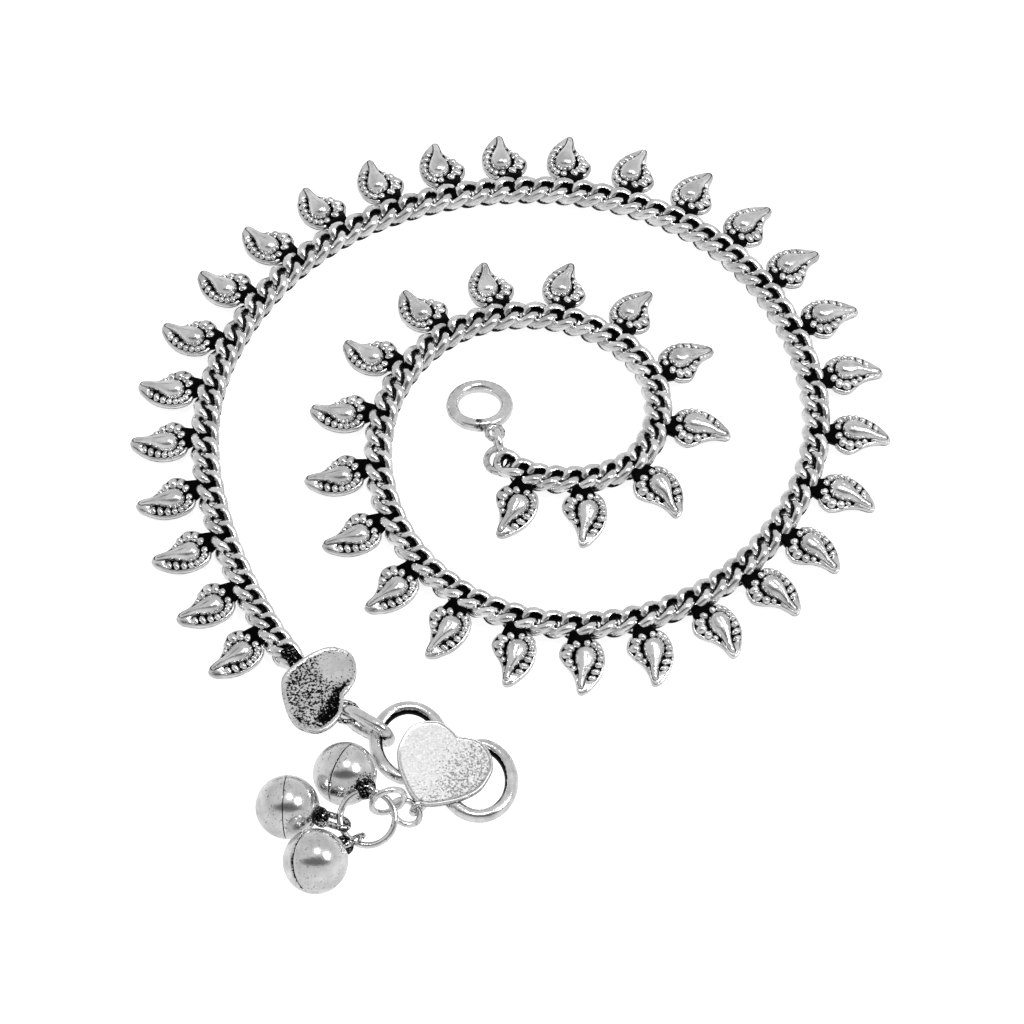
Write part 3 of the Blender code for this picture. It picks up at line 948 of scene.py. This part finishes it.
        floor, lane = self.lane_floor, self._lane
        return [
            (inset(-0.04, 0.1), 0.6),
            (inset(-0.05, 0.3), 0.0),
            (inset(-0.01, floor), 0.0),
            (inset(0.06, floor + 0.06), 0.0),
            (inset(0.14, floor + 0.06), 0.0),
            (inset(0.19, floor - 0.02), lane),
            (between(0.3, floor), lane),
            (between(0.6, floor), lane),
            (between(0.85, floor), lane),
            (between(0.95, floor + 0.05), lane),
            (crest(0.02, 0.2), 0.35),
            (crest(0.08, 0.48), 0.0),
            (crest(0.2, 0.7), 0.0),
            (crest(0.38, 0.86), 0.0),
            (crest(0.6, 0.96), 0.0),
            (crest(0.85, 1.0), 0.0),
        ]

    def _blank(self) -> bpy.types.Mesh:
        """Casts one charm lying flat: x along the chain, y outward, z up."""
        work = Workpiece("leaf_charm")
        rim = self._loop(self.outline, self.outline_root, self.outline_tip)
        foot = self._loop(self.dome, self.dome_root, self.dome_tail)
        work.close_top(work.loft(rim, self._steps(rim, foot)), 0.0)
        for bead in self.beads:
            self._add_bead(work, bead, rim, foot)
        self._add_neck(work)
        bmesh.ops.translate(work.shape, vec=UP * -self.back_depth, verts=work.shape.verts)
        bmesh.ops.recalc_face_normals(work.shape, faces=work.shape.faces)
        return work.as_mesh()

    def _add_bead(
        self, work: Workpiece, bead: Bead, rim: Sequence[Vector], foot: Sequence[Vector]
    ) -> None:
        """Sets one bead across the border, from the rim to the dome's foot.

        Args:
            work: The charm.
            bead: The bead.
            rim: The charm's outline.
            foot: The dome's foot.
        """
        step = bead.station * self.per_span
        i, share = int(step), step - int(step)
        count = len(rim)
        outer = rim[i % count].lerp(rim[(i + 1) % count], share)
        inner = foot[i % count].lerp(foot[(i + 1) % count], share)
        across = inner - outer
        half_length = min(across.length * self.bead_share, bead.half_width * self.bead_longest)
        middle = outer + across.normalized() * (self.bead_from_rim + half_length)
        turn = Matrix.Rotation(math.atan2(across.y, across.x), 4, "Z")
        tip_up = Matrix.Rotation(-self.bead_tilt, 4, "Y")
        low = self.lane_floor - self.bead_sunk
        place = Matrix.Translation(middle + UP * low)
        stretch = Matrix.Diagonal((half_length, bead.half_width, bead.top - low, 1.0))

        def soot(point: Vector) -> float:
            """Blackens a bead's foot."""
            return 1.0 - smoothstep(self.lane_floor + 0.06, self.lane_floor + 0.26, point.z)

        work.ball(place @ turn @ tip_up @ stretch, 3, soot, self.bead_fullness)

    def _add_neck(self, work: Workpiece) -> None:
        """Adds the black solder that joins the charm to its link, wider at the charm."""
        inner, outer = self.neck_start, self.root + self.neck_reach
        middle = (inner + outer) / 2.0
        across, high = self.neck_size
        verts = bmesh.ops.create_cube(work.shape, size=1.0)["verts"]
        bmesh.ops.scale(work.shape, vec=Vector((across, outer - inner, high)), verts=verts)
        bmesh.ops.translate(work.shape, vec=Vector((0.0, middle, self.neck_height)), verts=verts)
        wide = [vert for vert in verts if vert.co.y > middle]
        bmesh.ops.scale(work.shape, vec=Vector(self.neck_flare), verts=wide)
        work.round_off(verts, self.neck_rounding, 1.0)

    def build(self, bench: Bench) -> None:
        """Sets a charm on every carrying link, each turned a little on its neck.

        Args:
            bench: Where finished pieces go.
        """
        blank = self._blank()
        droop = Matrix.Rotation(-math.radians(self.droop_deg), 4, "X")
        pivot = Matrix.Translation(Vector((0.0, self.root, 0.0)))
        for number, turn_deg in enumerate(self.turns_deg, start=1):
            spin = Matrix.Rotation(math.radians(self.lean_deg - turn_deg), 4, "Z")
            turn = pivot @ spin @ pivot.inverted()
            mesh = blank.copy()
            mesh.transform(self.route.seat(number, self.height) @ droop @ turn)
            mesh = smooth_edges(to_metres(mesh), self.sharp_deg)
            bench.dress(mesh, f"leaf_charm_{number:02d}", f"paisley_charm_{number:02d}", OXIDISED)
        bpy.data.meshes.remove(blank)


@dataclass
class HeartPlate:
    """A flat heart with a thin raised rim, lying over whatever carries it."""

    point: Pair
    turn_deg: float
    length: float
    width: float
    rim_width: float
    sink: float
    thickness: float = 0.5
    cleft: float = 0.94
    middle_share: float = 0.55
    face_margin: float = 0.2
    per_span: int = 5
    rows: tuple[Pair, ...] = (
        (0.05, 0.25),
        (0.15, 0.50),
        (0.28, 0.75),
        (0.45, 0.95),
        (0.62, 1.00),
        (0.78, 0.97),
        (0.90, 0.82),
        (0.98, 0.60),
        (1.00, 0.40),
        (0.97, 0.15),
    )

    def add(
        self, work: Workpiece, underside: Callable[[Vector], float], face_value: Tarnish
    ) -> None:
        """Cuts the heart and raises its rim.

        Args:
            work: The mesh that it joins.
            underside: Gives the height of the plate's underside at a place in plan.
            face_value: Tarnish of the face.
        """
        turn = math.radians(self.turn_deg)
        along = Vector((math.cos(turn), math.sin(turn), 0.0))
        aside = Vector((-along.y, along.x, 0.0))
        right = [(a, -b) for a, b in reversed(self.rows)]
        start = Vector((*self.point, 0.0))
        corners = [
            start + along * (a * self.length) + aside * (b * self.width / 2.0)
            for a, b in [(0.0, 0.0), *self.rows, (self.cleft, 0.0), *right]
        ]
        rim = closed_curve(corners, self.per_span)
        middle = start + along * (self.length * self.middle_share)

        def loop(inset: float, height: float, share: float = 0.0) -> LoopRule:
            """Moves an outline point inward, then a share of the way to the middle, and up."""

            def rule(i: int, _: Vector) -> Vector:
                """Finds one point."""
                edge = rim[i] + (middle - rim[i]).normalized() * inset
                place = edge.lerp(middle, share)
                return Vector((place.x, place.y, underside(place) + height))

            return rule

        high = self.thickness
        steps = [
            (loop(0.0, 0.08), 0.8),
            (loop(0.0, high - 0.1), 0.05),
            (loop(0.05, high - 0.01), 0.0),
            (loop(0.12, high), 0.0),
            (loop(self.rim_width, high - 0.01), 0.1),
            (loop(self.rim_width + 0.05, high - self.sink), 0.3),
        ]
        for share in (0.0, 0.15, 0.3, 0.45, 0.6, 0.75, 0.9):
            rule = loop(self.rim_width + self.face_margin, high - self.sink, share)
            steps.append((rule, face_value))
        low = loop(0.06, 0.0)
        top = work.loft([low(i, point) for i, point in enumerate(rim)], steps)
        work.close_top(top, face_value)


@dataclass
class OuterEnd:
    """The dark heart plate over the chain's outer end, its eye and the oval ring."""

    route: Route
    plate: HeartPlate = field(
        default_factory=lambda: HeartPlate((-20.1, -19.35), -18.3, 6.1, 9.0, 0.32, 0.03)
    )
    underside: float = 2.4
    bright_lobe: Pair = (-15.0, -17.9)
    dark_strip: tuple[Pair, Pair] = ((-14.3, -20.6), (-16.0, -23.6))
    tongue_start: float = 0.42
    tongue_back: float = 0.3
    tongue_length: float = 2.6
    tongue_width: float = 1.4
    tongue_low: float = 1.15
    tongue_sunk: float = 0.25
    far: Pair = (-14.5, -22.6)
    near: Pair = (-10.7, -25.1)
    ring_wire: float = 0.53
    ring_half_height: float = 1.45
    ring_lean_deg: float = 8.0
    eye_wire: float = 0.25
    eye_room: float = 0.2
    eye_stretch: float = 1.15

    def _pitted(self, place: Vector) -> float:
        """Leaves the far lobe bright and darkens the face towards the ring."""
        flat = Vector((place.x, place.y))
        lobe = (flat - Vector(self.bright_lobe)).length
        start, end = (Vector(point) for point in self.dark_strip)
        share = (flat - start).dot(end - start) / (end - start).length_squared
        strip = (flat - start.lerp(end, min(max(share, 0.0), 1.0))).length
        return 0.49 * smoothstep(1.2, 2.6, lobe) + 0.55 * (1.0 - smoothstep(0.3, 1.3, strip))

    @staticmethod
    def _tarnish_and_painted_shade(place: Vector) -> float:
        """Paints shade on the ring over an even tarnish: darker towards its bottom, lighter towards
        its top.
        """
        # painted shade: the tarnish grows lower down the ring
        return 0.25 - 0.1 * (place.z - 2.0)

    def build(self, bench: Bench) -> None:
        """Makes the plate with its tongue and eye, and the ring.

        Args:
            bench: Where finished pieces go.
        """
        far, near = Vector((*self.far, 0.0)), Vector((*self.near, 0.0))
        along = (near - far).normalized()
        work = Workpiece("heart_end_plate")
        self.plate.add(work, lambda _: self.underside, self._pitted)
        reach = self.ring_wire + self.eye_room + self.eye_wire
        centre = far + UP * (self.underside - self.eye_wire / 2.0)
        eye = ellipse(centre, along, UP.cross(along), reach * self.eye_stretch, reach, 32)
        work.sweep(eye, UP, self.eye_wire, 10, 0.42)
        self._add_tongue(work)
        mesh = smooth_edges(work.finished(), 60.0)
        bench.dress(mesh, "pitted_heart_plate", "heart_end_plate", PITTED)

        lean = math.radians(self.ring_lean_deg)
        lift = UP * (self.ring_half_height * math.cos(lean) + self.ring_wire)
        upright = UP * math.cos(lean) + along.cross(UP) * math.sin(lean)
        inset = along * self.ring_half_height
        start, end = far + inset + lift, near - inset + lift
        path = stadium(start, end, upright, self.ring_half_height, 16)
        work = Workpiece("oval_jump_ring")
        work.sweep(path, along.cross(upright), self.ring_wire, 18, self._tarnish_and_painted_shade)
        bench.dress(work.finished(), "oval_ring", "oval_jump_ring", WORN)

    def _add_tongue(self, work: Workpiece) -> None:
        """Adds the solder tongue that drops from the plate to the chain."""
        heading = -self.route.heading(self.tongue_start)
        face = self.route.point(self.tongue_start) + heading * self.tongue_back
        low, high = self.tongue_low, self.underside + self.tongue_sunk
        size = Vector((self.tongue_length, self.tongue_width, high - low))
        verts = bmesh.ops.create_cube(work.shape, size=1.0)["verts"]
        bmesh.ops.scale(work.shape, vec=size, verts=verts)
        turn = Matrix.Rotation(math.atan2(heading.y, heading.x), 4, "Z")
        middle = face + heading * (self.tongue_length / 2.0) + UP * ((low + high) / 2.0)
        place = Matrix.Translation(middle) @ turn
        bmesh.ops.transform(work.shape, matrix=place, verts=verts)
        work.round_off(verts, 0.2, 0.9)


@dataclass
class HookClasp:
    """The S-shaped hook, with its bright heart plate and the eye for the bells."""

    plate: HeartPlate = field(
        default_factory=lambda: HeartPlate((-8.06, -31.75), 63.1, 7.9, 8.36, 0.2, 0.06)
    )
    wire: float = 0.6
    half_width: float = 2.93
    half_depth: float = 3.45
    left: Pair = (-8.95, -25.45)
    right: Pair = (-2.95, -28.85)
    left_start_deg: float = 25.0
    right_start_deg: float = 85.0
    arc_deg: float = 240.0
    arc_points: int = 40
    slope: float = 0.116
    rise: Pair = (-0.5, 0.87)
    low_point: Pair = (-1.65, -32.2)
    sink: float = 0.12
    under_plate: Pair = (-5.9, -28.1)
    eye_centre: Triple = (-8.15, -31.75, 1.15)
    eye_radius: float = 0.72
    eye_wire: float = 0.24
    link_centre: Pair = (-9.2, -32.55)

    def _height(self, place: Vector) -> float:
        """Gives the height of the wire's centre at a place in plan."""
        travel = Vector((place[0] - self.low_point[0], place[1] - self.low_point[1]))
        return self.wire + self.slope * travel.dot(Vector(self.rise))

    def _path(self) -> list[Vector]:
        """Gives the S: round the left loop, across and round the right loop."""
        path = []
        for centre, start_deg, arc_deg in (
            (self.left, self.left_start_deg, self.arc_deg),
            (self.right, self.right_start_deg, -self.arc_deg),
        ):
            for i in range(self.arc_points + 1):
                turn = math.radians(start_deg + arc_deg * i / self.arc_points)
                x = centre[0] + self.half_width * math.cos(turn)
                y = centre[1] + self.half_depth * math.sin(turn)
                path.append(Vector((x, y, self._height(Vector((x, y, 0.0))))))
        return path

    def _tarnish_and_painted_shade(self, place: Vector) -> float:
        """Blackens the wire along the inside of its loops and paints shade on it under and beside
        the plate.
        """
        near = (Vector((place.x, place.y)) - Vector(self.under_plate)).length
        reaches = [
            math.hypot((place.x - x) / self.half_width, (place.y - y) / self.half_depth)
            for x, y in (self.left, self.right)
        ]
        inside = 1.0 - min(reaches, key=lambda reach: abs(reach - 1.0))
        # painted shade: the wire darkens near the plate that lies over it
        painted_plate_shade = 0.6 - 0.5 * smoothstep(3.0, 4.4, near)
        return max(painted_plate_shade, 0.1 + 0.62 * smoothstep(0.07, 0.16, inside))

    @staticmethod
    def _stipple_and_painted_sheen(place: Vector) -> float:
        """Paints a reflection: leaves the near lobe white as a painted highlight and lets the
        stipple grow across the face.
        """
        # painted reflection: the tarnish rises away from the near lobe, which stays bright
        return 0.46 * smoothstep(-4.0, 3.0, (place.x + 6.5) - 0.6 * (place.y + 28.0))

    def build(self, bench: Bench) -> None:
        """Bends the wire, adds the eye and makes the plate.

        Args:
            bench: Where finished pieces go.
        """
        work = Workpiece("s_hook_clasp")
        steep = Vector((-self.slope * self.rise[0], -self.slope * self.rise[1], 1.0))
        work.sweep(self._path(), steep.normalized(), self.wire, 18, self._tarnish_and_painted_shade, Seat.OPEN)
        x, y, _ = self.eye_centre
        spoke = Vector((x - self.link_centre[0], y - self.link_centre[1], 0.0)).normalized()
        centre = Vector(self.eye_centre)
        eye = ellipse(centre, spoke, UP, self.eye_radius, self.eye_radius, 28)
        work.sweep(eye, spoke.cross(UP), self.eye_wire, 10, 0.4)
        bench.dress(work.finished(), "hook_wire", "s_hook_clasp", HOOKED)

        work = Workpiece("hook_heart")
        self.plate.add(work, lambda p: self._height(p) + self.wire - self.sink, self._stipple_and_painted_sheen)
        mesh = smooth_edges(work.finished(), 60.0)
        bench.dress(mesh, "hook_heart", "s_hook_clasp", STIPPLED)


@dataclass(frozen=True)
class RoundRing:
    """One round ring: its centre, the two directions that it lies in, its radius and its wire."""

    centre: Vector
    axis_a: Vector
    axis_b: Vector
    radius: float
    wire: float
    count: int = 40

    def add(self, work: Workpiece, value: Tarnish, sides: int = 12) -> None:
        """Draws the ring.

        Args:
            work: The mesh that it joins.
            value: Its tarnish.
            sides: Sides of the wire's section.
        """
        path = ellipse(self.centre, self.axis_a, self.axis_b, self.radius, self.radius, self.count)
        work.sweep(path, self.axis_a.cross(self.axis_b), self.wire, sides, value)


@dataclass(frozen=True)
class BellPlan:
    """One bell: its place, its size, where it hangs, its seam and its eyelet."""

    centre: Pair
    radius: float
    ring_turn_deg: float
    seam_normal: Triple
    open_side: Triple
    seam_width: float
    eyelet_half_width: float
    eyelet_turn_deg: float


@dataclass
class BellDrop:
    """The jump rings, the gathering ring and the three bells."""

    link_wire: float = 0.28
    link_1: Triple = (-9.2, -32.55, 1.7)
    link_1_radius: float = 1.3
    link_1_slope: Pair = (-0.42, -0.087)
    link_2: Triple = (-10.74, -32.2, 2.95)
    link_2_radius: float = 1.5
    link_2_long: Triple = (-0.38, -0.04, 0.92)
    link_2_normal: Triple = (-0.32, 0.94, -0.09)
    ring: Triple = (-12.5, -33.9, 2.9)
    ring_radius: float = 2.38
    ring_wire: float = 0.3
    ring_tilt_deg: float = 25.0
    ring_tarnish: float = 0.25
    eyelet_wire: float = 0.3
    eyelet_tarnish: float = 0.45
    seam_cuts: tuple[float, ...] = (-0.2, -0.09, -0.03, 0.03, 0.09, 0.2)
    lug_lift: float = 0.25
    lug_size: Triple = (0.75, 0.9, 0.9)
    bells: tuple[BellPlan, ...] = (
        BellPlan(
            (-14.5, -29.3), 2.8, 88.0, (0.87, -0.47, 0.14), (-0.35, -0.41, 0.84),
            seam_width=0.7, eyelet_half_width=0.8, eyelet_turn_deg=0.0,
        ),
        BellPlan(
            (-19.45, -32.7), 2.8, 190.0, (0.99, -0.08, 0.10), (-0.14, -0.56, 0.82),
            seam_width=0.5, eyelet_half_width=1.0, eyelet_turn_deg=45.0,
        ),
        BellPlan(
            (-16.95, -38.25), 2.85, 236.0, (0.72, -0.39, 0.58), (-0.70, -0.40, 0.59),
            seam_width=1.9, eyelet_half_width=1.25, eyelet_turn_deg=25.0,
        ),
    )

    def _ring_axes(self) -> tuple[Vector, Vector]:
        """Gives the two directions that the gathering ring lies in."""
        tilt = math.radians(self.ring_tilt_deg)
        return RIGHT, Vector((0.0, math.cos(tilt), math.sin(tilt)))

    def _rings(self) -> dict[str, RoundRing]:
        """Gives the three rings by their nodes' names."""
        slope = Vector((*self.link_1_slope, 0.0))
        normal = Vector((-slope.x, -slope.y, 1.0)).normalized()
        flat_a = Vector((1.0, 0.0, slope.x)).normalized()
        flat_b = normal.cross(flat_a)
        steep_a = Vector(self.link_2_long).normalized()
        steep_b = Vector(self.link_2_normal).cross(steep_a).normalized()
        wire = self.link_wire
        return {
            "bell_link_1": RoundRing(Vector(self.link_1), flat_a, flat_b, self.link_1_radius, wire),
            "bell_link_2": RoundRing(
                Vector(self.link_2), steep_a, steep_b, self.link_2_radius, wire
            ),
            "bell_ring": RoundRing(
                Vector(self.ring), *self._ring_axes(), self.ring_radius, self.ring_wire, 64
            ),
        }

    def build(self, bench: Bench) -> None:
        """Makes the rings and hangs the bells.

        Args:
            bench: Where finished pieces go.
        """
        for node, ring in self._rings().items():
            work = Workpiece(node)
            ring.add(work, self.ring_tarnish)
            bench.dress(work.finished(), f"{node}_round", node, WORN)
        for number, plan in enumerate(self.bells, start=1):
            self._bell(bench, number, plan)

    def _bell(self, bench: Bench, number: int, plan: BellPlan) -> None:
        """Turns a bell, presses its seam in and adds its lug and eyelet.

        Args:
            bench: Where finished pieces go.
            number: The bell's number.
            plan: Its place and size.
        """
        work = Workpiece(f"bell_{number}")
        centre = Vector((*plan.centre, plan.radius))
        axis_a, axis_b = self._ring_axes()
        turn = math.radians(plan.ring_turn_deg)
        out = axis_a * math.cos(turn) + axis_b * math.sin(turn)
        hang = Vector(self.ring) + out * self.ring_radius
        heading = axis_b * math.cos(turn) - axis_a * math.sin(turn)
        reach = (hang - centre).normalized()
        self._add_shell(work, plan, centre, reach)
        side = heading.cross(reach).normalized()
        tip = math.radians(plan.eyelet_turn_deg)
        side = (side * math.cos(tip) + heading * math.sin(tip)).normalized()
        self._add_eyelet(work, plan, centre, hang, side)
        turned = Matrix((reach, side, reach.cross(side))).transposed().to_4x4()
        lug = Matrix.Translation(centre + reach * (plan.radius + self.lug_lift)) @ turned
        work.ball(lug @ Matrix.Diagonal((*self.lug_size, 1.0)), 3, 0.8, fullness=0.85)
        mesh = smooth_edges(work.finished(), 70.0)
        bench.dress(mesh, f"round_bell_{number}", f"bell_{number}", BELLS)

    def _add_shell(self, work: Workpiece, plan: BellPlan, centre: Vector, reach: Vector) -> None:
        """Turns the ball, cuts loops beside its seam and presses the seam in.

        Args:
            work: The bell.
            plan: Its place and size.
            centre: The ball's centre.
            reach: Direction from the centre to the point that it hangs from.
        """
        normal = Vector(plan.seam_normal).normalized()
        open_side = Vector(plan.open_side)
        open_side = (open_side - normal * open_side.dot(normal)).normalized()
        turned = Matrix((open_side, normal.cross(open_side), normal)).transposed().to_4x4()
        place = Matrix.Translation(centre) @ turned
        bmesh.ops.create_uvsphere(
            work.shape, u_segments=72, v_segments=44, radius=plan.radius, matrix=place
        )
        for cut in self.seam_cuts:
            bmesh.ops.bisect_plane(
                work.shape,
                geom=[*work.shape.verts, *work.shape.edges, *work.shape.faces],
                dist=0.0001,
                plane_co=centre + normal * (cut * plan.seam_width),
                plane_no=normal,
            )
        for vert in work.shape.verts:
            spoke = vert.co - centre
            out = spoke.normalized()
            off = abs(spoke.dot(normal)) / plan.seam_width
            facing = (spoke - normal * spoke.dot(normal)).normalized().dot(open_side)
            opened = smoothstep(-0.2, 0.1, facing)
            press = 1.0 - smoothstep(0.02, 0.1, off)
            vert.co = centre + out * (plan.radius - (0.06 + 0.16 * opened) * press)
            dark = press * (0.55 + 0.45 * opened)
            # painted shade: the bell darkens towards the floor
            under = 0.3 * (1.0 - smoothstep(0.2, 1.6, vert.co.z))
            near_seam = 1.0 - smoothstep(0.2, 1.3, off)
            pits = 0.06 + 0.16 * near_seam * smoothstep(-0.6, 0.4, out.x)
            lug = 0.5 * smoothstep(0.8, 0.95, out.dot(reach))
            vert[work.layer] = max(dark, under, pits, lug)

    def _add_eyelet(
        self, work: Workpiece, plan: BellPlan, centre: Vector, hang: Vector, side: Vector
    ) -> None:
        """Bends the eyelet from the bell round the point that it hangs from.

        Args:
            work: The bell.
            plan: Its place and size.
            centre: The bell's centre.
            hang: The point of the gathering ring that it hangs from.
            side: Direction across the eyelet.
        """
        reach = (hang - centre).normalized()
        first = centre + reach * (plan.radius - 0.2)
        start = centre + reach * (plan.radius + 0.35)
        half_width = plan.eyelet_half_width - self.eyelet_wire
        loop = stadium(start, hang, side, half_width, 12)[:13]
        foot = side * half_width * 0.6
        path = [first - foot, start - foot * 1.5, *loop, start + foot * 1.5, first + foot]
        wire, dark = self.eyelet_wire, self.eyelet_tarnish
        work.sweep(path, side.cross(reach), wire, 12, dark, Seat.OPEN)


@dataclass
class InnerEnd:
    """The closing ring with its eye, and the two rings that join it to the chain."""

    ring_centre: Pair = (-2.9, 10.8)
    ring_radius: float = 2.44
    ring_wire: float = 0.585
    ring_tilt_deg: float = 9.5
    joint_shift: float = 0.1
    link_wire: float = 0.32
    link_tarnish: float = 0.3
    link_1: Triple = (-1.25, 6.37, 1.53)
    link_1_radius: float = 1.2
    link_1_towards: Triple = (0.23, -0.97, 0.0)
    link_2: Triple = (-1.23, 4.68, 1.3)
    link_2_half_width: float = 1.05
    link_2_half_depth: float = 1.25
    eye_radius: float = 0.72
    eye_wire: float = 0.24
    eye_tarnish: float = 0.4

    def build(self, bench: Bench) -> None:
        """Makes the three rings.

        Args:
            bench: Where finished pieces go.
        """
        tilt = math.radians(self.ring_tilt_deg)
        height = self.ring_radius * math.sin(tilt) + self.ring_wire
        centre = Vector((*self.ring_centre, height))
        axis_b = Vector((0.0, math.cos(tilt), -math.sin(tilt)))
        joint = centre + RIGHT * self.joint_shift - axis_b * self.ring_radius
        link_1 = Vector(self.link_1)
        towards = Vector(self.link_1_towards).normalized()
        eye_centre = link_1 - towards * (self.link_1_radius - 0.05)

        def soot(place: Vector) -> float:
            """Blackens the ring where its ends are soldered."""
            return 0.14 + 0.4 * (1.0 - smoothstep(0.5, 1.0, (place - joint).length))

        work = Workpiece("end_ring")
        ring = RoundRing(centre, RIGHT, axis_b, self.ring_radius, self.ring_wire, 72)
        ring.add(work, soot, 18)
        eye = RoundRing(eye_centre, RIGHT, AWAY, self.eye_radius, self.eye_wire, 28)
        eye.add(work, self.eye_tarnish, 10)
        bench.dress(work.finished(), "closing_ring", "end_ring", WORN)

        work = Workpiece("end_link_1")
        upright = RoundRing(link_1, towards, UP, self.link_1_radius, self.link_wire)
        upright.add(work, self.link_tarnish)
        bench.dress(work.finished(), "upright_end_link", "end_link_1", WORN)

        work = Workpiece("end_link_2")
        half_a, half_b = self.link_2_half_width, self.link_2_half_depth
        path = ellipse(Vector(self.link_2), RIGHT, AWAY, half_a, half_b, 40)
        work.sweep(path, UP, self.link_wire, 12, self.link_tarnish)
        bench.dress(work.finished(), "flat_end_link", "end_link_2", WORN)


@dataclass(frozen=True)
class Lamp:
    """One round soft light: its name, its direction from the anklet, its diameter and its watts."""

    name: str
    towards: Triple
    size: float
    power: float

    def hang(self, distance: float) -> None:
        """Hangs the light at a distance from the anklet."""
        data = bpy.data.lights.new(self.name, "AREA")
        data.shape = "DISK"
        data.size = self.size
        data.energy = self.power
        lamp = bpy.data.objects.new(self.name, data)
        bpy.context.scene.collection.objects.link(lamp)
        towards = Vector(self.towards).normalized()
        lamp.location = towards * distance
        lamp.rotation_euler = towards.to_track_quat("Z", "Y").to_euler()


@dataclass
class Studio:
    """The pale floor, the soft lights and the camera at the photograph's angle."""

    elevation_deg: float = 56.0
    distance: float = 0.8
    lens: float = 316.4
    sensor: float = 36.0
    floor_size: float = 3.0
    floor_white: float = 0.93
    floor_glow: float = 0.85
    lamp_distance: float = 0.7
    lamps: tuple[Lamp, ...] = (
        Lamp("overhead_light", (0.1, 0.02, 0.99), 0.12, 1.1),
        Lamp("side_light", (0.62, -0.12, 0.76), 0.2, 2.0),
    )
    sky: float = 0.66
    low_sky: float = 0.88
    sky_change: Pair = (-0.2, 0.45)
    front_patch: float = 0.2
    patch_towards: Triple = (0.03, -0.56, 0.829)
    patch_stretch: Triple = (0.22, 1.0, 1.0)
    patch_edge: Pair = (0.93, 0.993)

    def build(self) -> None:
        """Sets the stage."""
        self._camera()
        self._floor()
        for lamp in self.lamps:
            lamp.hang(self.lamp_distance)
        self._world()
        bpy.context.scene.view_settings.view_transform = "Standard"

    def _camera(self) -> None:
        """Places the camera."""
        lens = bpy.data.cameras.new("camera")
        lens.lens = self.lens
        lens.sensor_width = self.sensor
        lens.clip_start = 0.01
        lens.clip_end = 10.0
        camera = bpy.data.objects.new("camera", lens)
        bpy.context.scene.collection.objects.link(camera)
        tilt = math.radians(self.elevation_deg)
        back = Vector((0.0, -math.cos(tilt), math.sin(tilt)))
        camera.location = PLAN_OFFSET * MM + back * self.distance
        camera.rotation_euler = back.to_track_quat("Z", "Y").to_euler()
        bpy.context.scene.camera = camera

    def _floor(self) -> None:
        """Lays a plain white floor, which the metal doesn't mirror."""
        shape = bmesh.new()
        bmesh.ops.create_grid(shape, x_segments=1, y_segments=1, size=self.floor_size / 2.0)
        mesh = bpy.data.meshes.new("floor")
        shape.to_mesh(mesh)
        shape.free()
        paint = bpy.data.materials.new("floor_white")
        paint.use_nodes = True
        sockets = paint.node_tree.nodes["Principled BSDF"].inputs
        sockets["Base Color"].default_value = (*(self.floor_white,) * 3, 1.0)
        sockets["Roughness"].default_value = 0.9
        sockets["Specular IOR Level"].default_value = 0.1
        sockets["Emission Color"].default_value = (1.0, 1.0, 1.0, 1.0)
        sockets["Emission Strength"].default_value = self.floor_glow
        mesh.materials.append(paint)
        floor = bpy.data.objects.new("floor", mesh)
        bpy.context.scene.collection.objects.link(floor)
        floor.visible_glossy = False

    def _world(self) -> None:
        """Lights all round, with a wide dim patch in front that the metal mirrors."""
        world = bpy.data.worlds.new("studio")
        bpy.context.scene.world = world
        world.use_nodes = True
        tree = world.node_tree
        link = tree.links.new
        place = add_node(tree, "TexCoord")
        wide = add_node(tree, "VectorMath", {1: self.patch_stretch}, operation="MULTIPLY")
        unit = add_node(tree, "VectorMath", operation="NORMALIZE")
        facing = add_node(tree, "VectorMath", {1: self.patch_towards}, operation="DOT_PRODUCT")
        front = self._fade(tree, self.patch_edge, (1.0, self.front_patch))
        split = add_node(tree, "SeparateXYZ")
        height = self._fade(tree, self.sky_change, (self.low_sky, self.sky))
        both = add_node(tree, "Math", operation="MULTIPLY")
        link(place.outputs["Generated"], split.inputs["Vector"])
        link(split.outputs["Z"], height.inputs["Value"])
        link(place.outputs["Generated"], wide.inputs[0])
        link(wide.outputs["Vector"], unit.inputs[0])
        link(unit.outputs["Vector"], facing.inputs[0])
        link(facing.outputs["Value"], front.inputs["Value"])
        link(front.outputs["Result"], both.inputs[0])
        link(height.outputs["Result"], both.inputs[1])
        link(both.outputs["Value"], tree.nodes["Background"].inputs["Color"])

    @staticmethod
    def _fade(tree: bpy.types.NodeTree, across: Pair, ends: Pair) -> bpy.types.Node:
        """Adds a node that fades smoothly between two values across a range."""
        values = dict(zip(("From Min", "From Max", "To Min", "To Max"), (*across, *ends)))
        return add_node(tree, "MapRange", values, interpolation_type="SMOOTHSTEP")


def main() -> None:
    """Loads the frame, dresses every node and sets the stage."""
    logging.basicConfig(level=logging.INFO, format="%(name)s: %(message)s")
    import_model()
    bench = Bench(Groups.build())
    route = Route()
    Studio().build()
    for maker in (
        CurbChain(route),
        LeafCharms(route),
        OuterEnd(route),
        HookClasp(),
        BellDrop(),
        InnerEnd(),
    ):
        maker.build(bench)


if __name__ == "__main__":
    main()
